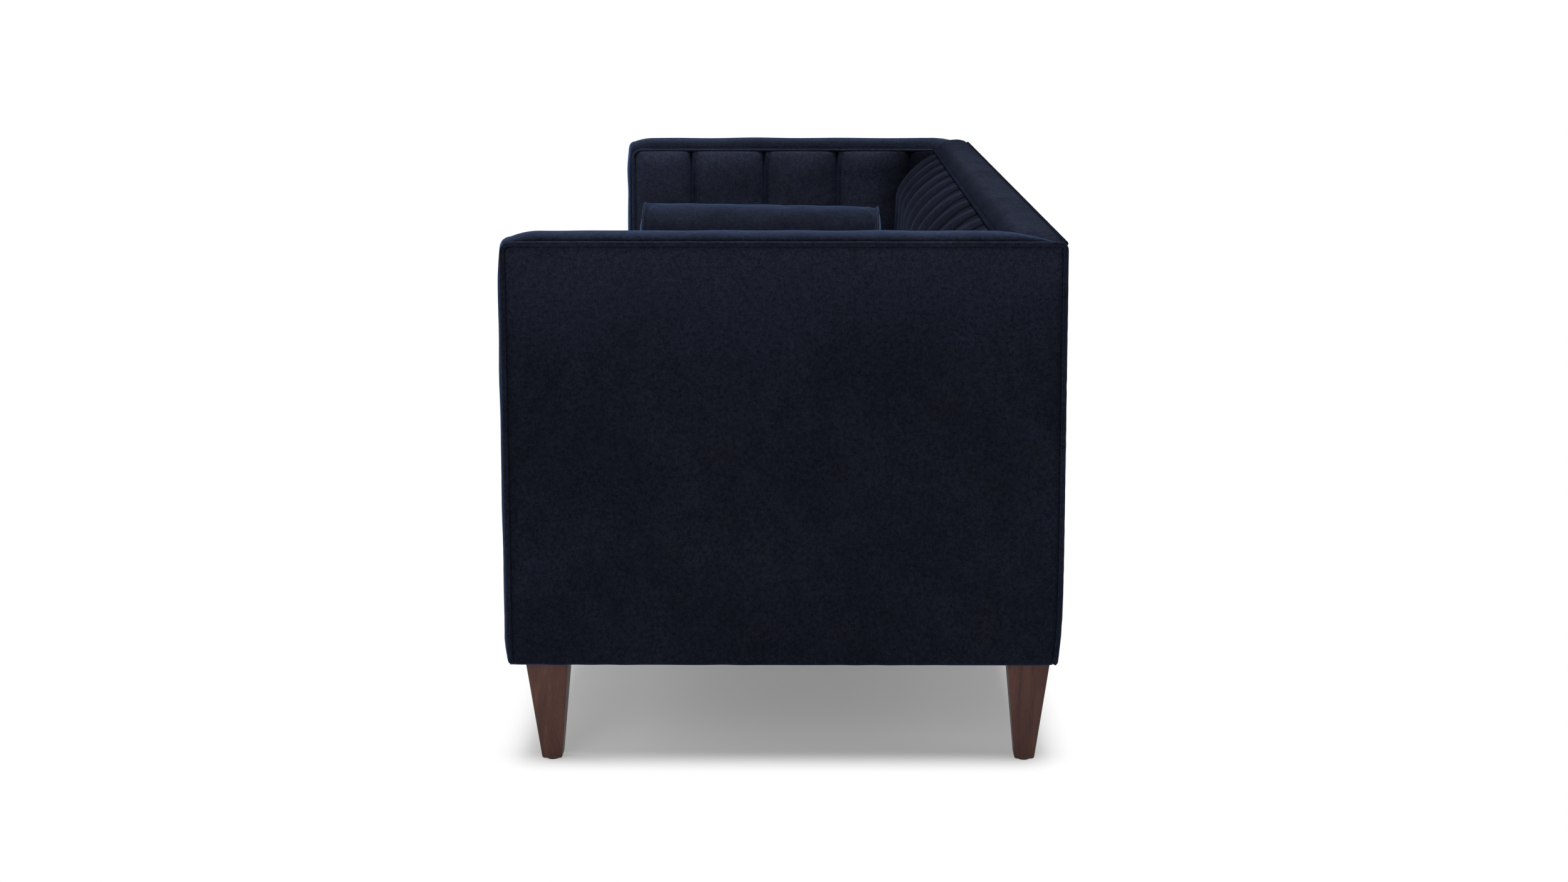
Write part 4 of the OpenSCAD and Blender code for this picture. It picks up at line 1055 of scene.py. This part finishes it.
def buildArmWelts(side, word):
    look, level = outerWelt, sofa["seamHeight"]
    x, front, rear = side*look["x"], sofa["frontSeam"], sofa["rearWelt"]
    lowest = sofa["foot"] + 1.5
    down = np.linspace(look["straightTop"], lowest, 30)
    up = np.linspace(lowest, look["straightTop"], 60)
    tuckedFront = front + look["frontTuck"]*fall(up - sofa["foot"], look["tuckReach"])
    path = np.concatenate([
        np.stack([np.full(60, x), tuckedFront, up], 1),
        arc(front + look["frontRound"], level - look["frontRound"], look["frontRound"], 180, 90, x),
        arc(rear - look["rearRound"], level - look["rearRound"], look["rearRound"], 90, 0, x),
        np.stack([np.full(30, x), rear - rearDrawnIn(down), down], 1)])
    addWelt("outerWelt" + word, path, look["radius"], (1, 0, 0), ["outer_welt_" + word.lower()], 131,
            flangeSide=side)
    look = innerWelt
    x, level = side*look["x"], level - look["below"]
    path = np.concatenate([
        [[x, look["front"], sofa["deck"] + 1]],
        arc(look["front"] + look["round"], level - look["round"], look["round"], 180, 90, x),
        [[x, look["rear"], level]]])
    addWelt("innerWelt" + word, path, look["radius"], (1, 0, 0), ["inner_welt_" + word.lower()], 133)


def addBackWelt(name, halfX, y, z, radius, stands, seed):
    addWelt(name, [[-halfX, y, z], [halfX, y, z]], radius, (0, 1, 0), stands, seed, velvetBackCord)


onBothSides(buildArmWelts)
addBackWelt("backOuterWelt", outerWelt["backHalf"], sofa["rearWelt"], sofa["seamHeight"], outerWelt["radius"],
            ["back_outer_welt"], 135)
addBackWelt("backInnerWelt", innerWelt["x"], innerWelt["backY"], sofa["seamHeight"] - innerWelt["below"],
            innerWelt["radius"], ["back_inner_welt"], 137)
print("frame welts made")


# Cushions, swollen by cloth simulation

clothLook = {"quality": 6, "mass": 0.35, "vertex_group_mass": "held", "tension_stiffness": 12.0,
             "compression_stiffness": 12.0, "shear_stiffness": 6.0, "bending_stiffness": 0.35,
             "use_pressure": True}


def placesOf(mesh):
    places = np.empty(len(mesh.vertices)*3)
    mesh.vertices.foreach_get("co", places)
    return places.reshape(-1, 3)


def simulateCover(piece, pinned, pressure, frames, slack):
    # Blows the cover up like a filled case, its seams held, and returns where its points end, in metres
    group = piece.vertex_groups.new(name="held")
    group.add(np.nonzero(pinned)[0].tolist(), 1.0, "REPLACE")
    cloth = piece.modifiers.new("filling", "CLOTH")
    wanted = {**clothLook, "uniform_pressure_force": pressure, "shrink_min": -slack}
    for name, value in wanted.items():
        setattr(cloth.settings, name, value)
    cloth.settings.effector_weights.gravity = 0
    cloth.collision_settings.use_collision = False
    cloth.collision_settings.use_self_collision = False
    scene = bpy.context.scene
    for k in range(1, frames + 1):
        scene.frame_set(k)
    shaped = piece.evaluated_get(bpy.context.evaluated_depsgraph_get())
    end = placesOf(shaped.to_mesh())
    shaped.to_mesh_clear()
    piece.modifiers.remove(cloth)
    piece.vertex_groups.remove(group)
    scene.frame_set(1)
    return end


def settled(piece, points, held, pressure, frames, slack, cap):
    # Where the simulation leaves the cover's points, none of them further than cap from its start
    moved = simulateCover(piece, held, pressure, frames, slack)/metresPerMillimetre - points
    length = np.linalg.norm(moved, axis=1)[:, None]
    return points + moved*np.minimum(1, cap/np.maximum(length, 1e-6))


def reshape(piece, places):
    piece.data.vertices.foreach_set("co", (places*metresPerMillimetre).reshape(-1))
    piece.data.update()
    smoother = piece.modifiers.new("smooth", "SUBSURF")
    smoother.levels = 1
    smoother.render_levels = 1


cushion = {"bottom": 306.4, "middleY": -100.0, "halfWidth": 950.0, "halfDepth": 297.0, "corner": 25.0,
           "edge": 451.0, "pitch": 0.0164, "crown": 22.0, "drawnIn": 5.0, "bulge": 3.0, "weltRadius": 2.5,
           "weltOut": 0.5, "footRise": 6.0, "counts": (170, 56, 14), "ease": 0.28, "startCrown": 12.0,
           "cap": 24.0, "pressure": 4.0, "frames": 20, "slack": 0.02}
bolster = {"x": 856.0, "y": -88.0, "radius": 100.0, "endRadius": 97.0, "half": 275.0, "dome": 9.0,
           "weltRadius": 2.5, "weltOut": 0.5, "weltAside": 1.25, "around": 132, "along": 96, "endRings": 16,
           "startShare": 0.992, "gather": 0.5, "softness": 0.8, "lowPaintedShade": 0.6,
           "cap": 5.0, "pressure": 3.0, "frames": 14, "slack": 0.015}


def drawnInAt(x):
    # The long sides come in between their corners, by drawnIn (1 - |x/straight|^4)
    straight = cushion["halfWidth"] - cushion["corner"]
    return cushion["drawnIn"]*(1 - np.minimum(1, np.abs(x)/straight)**4)


def cushionDepthAt(x):
    look = cushion
    over = np.maximum(0, np.abs(x) - look["halfWidth"] + look["corner"])
    rounding = np.sqrt(np.maximum(0, look["corner"]**2 - over**2))
    return look["halfDepth"] - look["corner"] + rounding - drawnInAt(x)


def cushionEdgeZ(y):
    return cushion["edge"] - cushion["pitch"]*(y - cushion["middleY"])


def cushionTopZ(x, y, crown):
    v = np.minimum(1, np.abs(y - cushion["middleY"])/cushionDepthAt(x))
    a = np.minimum(1, np.abs(x)/cushion["halfWidth"])
    return cushionEdgeZ(y) + crown*(1 - a**8)*(1 - v**8)


def cushionPlan(x, y):
    # Turns the square corners round and draws the long sides in; also gives each point's way outwards. A
    # corner's offset keeps its larger part as its new length
    look = cushion
    halfX, halfY, radius = look["halfWidth"], look["halfDepth"], look["corner"]
    innerX = np.clip(x, radius - halfX, halfX - radius)
    innerY = np.clip(y, radius - halfY, halfY - radius)
    dx, dy = x - innerX, y - innerY
    length = np.hypot(dx, dy)
    unit = np.maximum(length, 1e-9)
    scale = np.where(length > 0, np.maximum(np.abs(dx), np.abs(dy))/unit, 1)
    x, y = innerX + dx*scale, innerY + dy*scale
    return x, y*(1 - drawnInAt(x)/halfY) + look["middleY"], dx/unit, dy/unit


def buildSeatCushion():
    look = cushion
    place, quads = boxShell(look["counts"])
    a, b, c = place.T
    x, y = [half*(t*(1 + look["ease"]) - look["ease"]*t**3)
            for half, t in ((look["halfWidth"], a), (look["halfDepth"], b))]
    x, y, outX, outY = cushionPlan(x, y)
    onRim = (np.abs(a) > 0.999) | (np.abs(b) > 0.999)
    onTop, onFoot = c > 0.999, c < -0.999
    w = (c + 1)/2
    bulge = np.where(onRim, 4*w*(1 - w), 0)
    x = x + outX*bulge
    y = y + outY*bulge
    low = look["bottom"] + look["footRise"]
    z = low + w*(cushionEdgeZ(y) - low)
    z = np.where(onTop, cushionTopZ(x, y, look["startCrown"]), z)
    inward = np.minimum(look["halfWidth"] - np.abs(x), look["halfDepth"] - np.abs(y - look["middleY"]))
    z = np.where(onFoot, look["bottom"] + sink(inward, look["footRise"], 16), z)
    z = np.where(onFoot & onRim, low, z)
    points = np.stack([x, y, z], 1)
    piece = makePiece("seatCushion", points, quads, [], "seat_cushion", velvetCushion, "velvet_cushion",
                      ["seat_cushion_cover"], fill=0.85)
    held = (onRim & (onTop | onFoot)) | onFoot
    end = settled(piece, points, held, look["pressure"], look["frames"], look["slack"], look["cap"])
    # The filling stays within the sides, and is pressed flat under the two bolsters
    limit = cushionTopZ(x, y, look["crown"])
    underBolster = fall(np.abs(np.abs(x) - bolster["x"]) - 60, 30)*fall(np.abs(y - bolster["y"]) - 280, 12)
    swollen = np.minimum(end[:, 2], limit + 4*(1 - underBolster) - 0.3)
    end[:, 2] = np.where(onTop & ~onRim, swollen, end[:, 2])
    reach = look["halfWidth"] + look["bulge"]
    depth = cushionDepthAt(x) + look["bulge"] + 1.5
    end[:, 0] = np.clip(end[:, 0], -reach, reach)
    end[:, 1] = np.clip(end[:, 1], look["middleY"] - depth, look["middleY"] + depth)
    reshape(piece, end)


def buildCushionWelts():
    # The seam line is followed counter-clockwise, once at the top and once at the foot
    look = cushion
    t = np.linspace(-1, 1, 240)[:-1]
    along, one = t, np.ones(239)
    halfX, halfY, away = look["halfWidth"], look["halfDepth"], look["weltOut"]
    x = np.concatenate([halfX*one, -halfX*along, -halfX*one, halfX*along])
    y = np.concatenate([halfY*along, halfY*one, -halfY*along, -halfY*one])
    x, y, outX, outY = cushionPlan(x, y)
    parts = []
    for z in (cushionEdgeZ(y) + away, np.full_like(y, look["bottom"] + look["footRise"] - away)):
        path = np.stack([x + outX*away, y + outY*away, z], 1)
        path = evenly(np.concatenate([path, path[:1]]), 5.0)[:-1]
        radius = cordRadius(path, look["weltRadius"], 141)
        radius[-8:] = radius[:8].mean()
        parts.append(tube(path, radius, (0, 0, 1), closed=True, sides=12))
    makePiece("seatCushionWelts", *joined(parts), "seat_cushion", velvetCord, "velvet_welt",
              ["seat_cushion_welts"])


def bolsterPlace(points, side):
    # Lays a shape that was made along y in its place on the cushion, tipped back with the seat
    look = bolster
    tilt = -np.arctan(cushion["pitch"])
    height = cushionTopZ(np.array(look["x"]), np.array(look["y"]), cushion["crown"]) + look["radius"] + 0.6
    x, y, z = points.T
    return np.stack([side*look["x"] + x, look["y"] + y*np.cos(tilt) - z*np.sin(tilt),
                     height + y*np.sin(tilt) + z*np.cos(tilt)], 1)


def roundAxis(radius, axis, turn):
    return np.stack(np.broadcast_arrays(radius*np.cos(turn), axis, radius*np.sin(turn)), -1)


def buildBolster(side, word):
    look = bolster
    seed = 151 if side > 0 else 161
    body, half = "bolster_" + word.lower(), look["half"]
    # Radius and place along the axis, from one domed end over the barrel to the other
    ring = np.linspace(0.02, 1, look["endRings"])
    endR = look["endRadius"]*np.sin(ring*np.pi/2)
    endOut = look["dome"]*np.cos(ring*np.pi/2)
    share = edgeSpaced(look["along"], 0.35)[1:-1]
    barrel = look["endRadius"] + (look["radius"] - look["endRadius"])*swell(share, 2)
    radius = np.concatenate([endR, barrel, endR[::-1]])[:, None]
    axis = np.concatenate([-half - endOut, -half + 2*half*share, (half + endOut)[::-1]])[:, None]
    turn = np.linspace(0, 2*np.pi, look["around"], endpoint=False)[None]
    fromSeam = half - np.abs(axis)
    onBarrel = fromSeam > 0
    gathers = look["gather"]*fall(fromSeam, 16)*(1 - fall(fromSeam, 3)) \
        * ripple(100*turn, 0.5*axis, 24, seed, 0, 0.2)
    soft = look["softness"]*ripple(100*turn + 0*axis, axis, 130, seed + 1)*onBarrel*np.sin(turn)**2
    r = radius*look["startShare"] + gathers*onBarrel + soft*swell(np.clip((axis/half + 1)/2, 0, 1), 4)
    # Painted shade: the barrel is darker on its underside, away from the light overhead
    tone = look["lowPaintedShade"]*np.clip(0.9 - np.sin(turn), 0, 1)*np.clip(fromSeam/6, 0, 1)
    points, quads, caps = skin(roundAxis(r, axis, turn))
    points = bolsterPlace(points, side)
    piece = makePiece("bolster" + word, points, quads, caps, body, velvetCushion, "velvet_cushion",
                      ["bolster_cover_" + word.lower()], fill=0.95, tone=tone)
    # The seams round both ends are held, and so are the middles of the ends
    rows = len(radius)
    row = np.repeat(np.arange(rows), look["around"])
    held = np.isin(row, (0, 1, look["endRings"] - 1, rows - look["endRings"], rows - 2, rows - 1))
    end = settled(piece, points, held, look["pressure"], look["frames"], look["slack"], look["cap"])
    # It lies on the cushion and against nothing else, so its girth keeps to its place
    centre = bolsterPlace(np.zeros((1, 3)), side)[0]
    away = end - centre
    upright = away[:, 2] + cushion["pitch"]*away[:, 1]
    squeeze = np.minimum(1, look["radius"]/np.maximum(np.hypot(away[:, 0], upright), 1e-6))
    end[:, 0] = centre[0] + away[:, 0]*squeeze
    end[:, 2] = centre[2] - cushion["pitch"]*away[:, 1] + upright*squeeze
    reshape(piece, end)
    # A welt round each end
    around = np.linspace(0, 2*np.pi, 120, endpoint=False)
    parts = []
    for place in (-1, 1):
        path = roundAxis(look["endRadius"] + look["weltOut"], place*(half + look["weltAside"]), around)
        got, faces, ends = tube(path, look["weltRadius"], (0, 1, 0), closed=True, sides=12)
        parts.append((bolsterPlace(got, side), faces, ends))
    makePiece("bolsterWelts" + word, *joined(parts), body, velvetCord, "velvet_welt",
              ["bolster_welts_" + word.lower()])


buildSeatCushion()
buildCushionWelts()
print("seat cushion made")
onBothSides(buildBolster)
print("bolsters made")


# Foam inside the cushions

seatFoam = {"low": (-927, -374, 321), "high": (927, 174, 438), "edge": 6}
foamGap = 12.5              # from a bolster's foam out to its cover


def buildSeatFoam():
    spot, quads = boxShell((40, 20, 12))
    low, high = np.array(seatFoam["low"]), np.array(seatFoam["high"])
    half = (high - low)/2
    inner = np.clip(spot*half, seatFoam["edge"] - half, half - seatFoam["edge"])
    away = spot*half - inner
    length = np.maximum(np.linalg.norm(away, axis=1)[:, None], 1e-9)
    points = (low + high)/2 + inner + away*np.abs(away).max(1)[:, None]/length
    makePiece("seatFoam", points, quads, [], "seat_cushion", foam, "foam", ["seat_cushion_core"], fill=1.0)


def buildBolsterFoam(side, word):
    ring = np.array([0.05, 0.5, 0.94, 1.0, 1.0, 0.94, 0.5, 0.05])[:, None]*(bolster["endRadius"] - foamGap)
    axis = np.array([-1, -1, -1, -0.985, 0.985, 1, 1, 1])[:, None]*(bolster["half"] - foamGap)
    turn = np.linspace(0, 2*np.pi, 64, endpoint=False)[None]
    points, quads, caps = skin(roundAxis(ring, axis, turn))
    makePiece("bolsterFoam" + word, bolsterPlace(points, side), quads, caps, "bolster_" + word.lower(), foam,
              "foam", ["bolster_core_" + word.lower()], fill=1.0)


buildSeatFoam()
onBothSides(buildBolsterFoam)


# Legs and glides

leg = {"x": 1019.0, "frontY": -354.0, "rearY": 370.5, "top": 64.0, "footWidth": 30.0, "lean": 3.5,
       "low": 3.4, "high": 164.0, "easing": 2.2, "footRound": 1.8, "footReach": 3.2}


def buildLeg(side, word, end, middleY):
    # A square with eased corners, carried up from the foot while it widens and stands upright
    look = leg
    quarter = np.radians(np.linspace(0, 90, 7))
    levels = np.array([0, 0.002, 0.005, 0.010, 0.018, 0.04, 0.2, 0.4, 0.6, 0.8, 0.97, 1.0])[:, None]
    half = (look["footWidth"] + (look["top"] - look["footWidth"])*levels)/2
    half = half - sink(levels*(look["high"] - look["low"]), look["footRound"], look["footReach"])
    ease = look["easing"]
    xs, ys = [], []
    for sx, sy, first in ((1, 1, 0), (-1, 1, 90), (-1, -1, 180), (1, -1, 270)):
        angle = quarter[None] + np.radians(first)
        xs.append(sx*(half - ease) + ease*np.cos(angle))
        ys.append(sy*(half - ease) + ease*np.sin(angle))
    x = np.concatenate(xs, 1) - look["lean"]*(1 - levels)
    y = np.concatenate(ys, 1)
    z = np.broadcast_to(look["low"] + levels*(look["high"] - look["low"]), x.shape)
    where = "Front" if end < 0 else "Rear"
    rings = np.stack([side*(x + look["x"]), y + middleY - end*look["lean"]*(1 - levels), z], -1)
    makePiece("leg" + where + word, *skin(rings), "frame", walnut, "leg_wood",
              ["leg_" + where.lower() + "_" + word.lower()])


def buildLegs(side, word):
    buildLeg(side, word, -1, leg["frontY"])
    buildLeg(side, word, 1, leg["rearY"])


def buildGlides():
    # Four turned discs with rounded edges: distance from the axis, and level
    profile = np.array([[0.3, 0], [9.2, 0], [10.0, 0.3], [10.6, 1.0], [10.8, 1.8], [10.8, 4.2], [0.3, 4.2]])
    turn = np.linspace(0, 2*np.pi, 48, endpoint=False)
    discs = []
    for side, _ in sides:
        for y in (leg["frontY"] + leg["lean"], leg["rearY"] - leg["lean"]):
            discs.append(skin(np.stack([
                side*(leg["x"] - leg["lean"]) + profile[:, :1]*np.cos(turn),
                y + profile[:, :1]*np.sin(turn),
                np.broadcast_to(profile[:, 1:], (len(profile), len(turn)))], -1)))
    makePiece("glides", *joined(discs), "frame", nylon, "glide_nylon", ["glides"])


onBothSides(buildLegs)
buildGlides()
print("legs and glides made")


# Webbing and dust cover

strap = {"half": 25, "armLevels": (450, 620), "armX": (999.6, 1000.9), "armY": (-397.8, 351.2),
         "backLevels": (430, 540, 650), "backX": 1001, "backY": (351.6, 352.9)}


def buildStraps(name, low, high, levels, counts, stands):
    # Flat straps pulled tight at these levels; low and high are two corners of each, without its levels
    blocks = []
    for level in levels:
        spot, faces = boxShell(counts)
        first, last = np.array([*low, level - strap["half"]]), np.array([*high, level + strap["half"]])
        blocks.append(((first + last)/2 + spot*(last - first)/2, faces, []))
    makePiece(name, *joined(blocks), "frame", webCloth, "webbing", stands)


def buildArmWebbing(side, word):
    lowX, highX = sorted(side*x for x in strap["armX"])
    lowY, highY = strap["armY"]
    buildStraps("armWebbing" + word, (lowX, lowY), (highX, highY), strap["armLevels"], (2, 60, 8),
                ["arm_webbing_" + word.lower()])


buildStraps("backWebbing", (-strap["backX"], strap["backY"][0]), (strap["backX"], strap["backY"][1]),
            strap["backLevels"], (90, 8, 2), ["back_webbing"])
onBothSides(buildArmWebbing)

dustCover = {"halfX": 1055.0, "front": -395.0, "rear": 408.0, "level": 163.5, "thickness": 0.6, "sag": 2.2,
             "legHole": 33.0, "step": 14.0, "tackDepth": 0.5, "crease": 0.35}


def cellsBetween(stops, step):
    # Lines of a grid about one step apart that pass through every stop
    parts = []
    for a, b in zip(stops[:-1], stops[1:]):
        parts.append(np.linspace(a, b, max(2, int(round((b - a)/step)) + 1))[:-1])
    return np.append(np.concatenate(parts), stops[-1])


def buildDustCover():
    # One cloth tacked along its edges, with a hole round each leg; it hangs by a little between the rails
    look = dustCover
    hole, half, front, rear = look["legHole"], look["halfX"], look["front"], look["rear"]
    legX, legYs = leg["x"], (leg["frontY"], leg["rearY"])
    stopsX = [-half, -legX - hole, hole - legX, legX - hole, legX + hole, half]
    stopsY = [front, *[y + shift for y in legYs for shift in (-hole, hole)], rear]
    xs, ys = cellsBetween(stopsX, look["step"]), cellsBetween(stopsY, look["step"])
    x, y = np.meshgrid(xs, ys, indexing="ij")
    toEdge = np.minimum(half - np.abs(x), np.minimum(y - front, rear - y))
    hang = look["sag"]*(1 - fall(toEdge, 120))
    tacks = look["tackDepth"]*fall(toEdge, 25)*ripple(x, y, 55, 171)
    creases = look["crease"]*ripple(x, y, 210, 172, 0.6, 0.3)*(1 - fall(toEdge, 60))
    z = look["level"] - hang - tacks*np.minimum(1, toEdge/8) - creases
    # Cells inside a hole are left out, and each free side of a kept cell gets a wall
    midX, midY = (xs[1:] + xs[:-1])/2, (ys[1:] + ys[:-1])/2
    inX = np.abs(np.abs(midX) - legX) < hole
    inY = (np.abs(midY - legYs[0]) < hole) | (np.abs(midY - legYs[1]) < hole)
    kept = np.pad(~(inX[:, None] & inY[None]), 1)
    number = np.arange(x.size).reshape(x.shape)
    cells = number[:-1, :-1], number[1:, :-1], number[1:, 1:], number[:-1, 1:]
    inside = kept[1:-1, 1:-1]
    top = np.stack([corner[inside] for corner in cells], 1)
    beside = kept[1:-1, :-2], kept[2:, 1:-1], kept[1:-1, 2:], kept[:-2, 1:-1]
    walls = []
    for k in range(4):
        free = inside & ~beside[k]
        a, b = cells[k][free], cells[(k + 1) % 4][free]
        walls.append(np.stack([b, a, a + x.size, b + x.size], 1))
    quads = np.concatenate([top, top[:, ::-1] + x.size] + walls)
    points = np.concatenate([np.stack([x, y, z + h], -1).reshape(-1, 3) for h in (look["thickness"], 0)])
    used = np.unique(quads)
    fresh = np.zeros(len(points), int)
    fresh[used] = np.arange(len(used))
    piece = makePiece("dustCover", points[used], fresh[quads], [], "frame", dustCloth, "dust_cloth",
                      ["dust_cover"])
    flat = np.array([2*half, rear - front])*metresPerMillimetre
    holes = 4*(2*hole*metresPerMillimetre)**2
    float(flat.prod() - holes)


buildDustCover()


# Frame and springs

def dressNodes(names, finish):
    # The plain model's own pieces stay, with a finish in place of their flat colour
    for name in names:
        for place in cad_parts[name].material_slots:
            place.material = finish


dressNodes(["front_rail", "rear_rail", "side_rail_left", "side_rail_right", "seat_back_rail",
            "seat_stretchers", "corner_blocks",
            "arm_front_post_left", "arm_front_post_right", "back_corner_post_left",
            "back_corner_post_right", "arm_top_rail_left", "arm_top_rail_right", "arm_tack_rail_left",
            "arm_tack_rail_right", "back_top_rail", "back_posts", "back_tack_rails"], hardwood)
dressNodes(["block_screws", "seat_springs", "spring_clips", "spring_tie_wires", "hanger_bolts"], springSteel)
dressNodes(["leg_inserts"], insertBrass)
print("frame and springs finished")
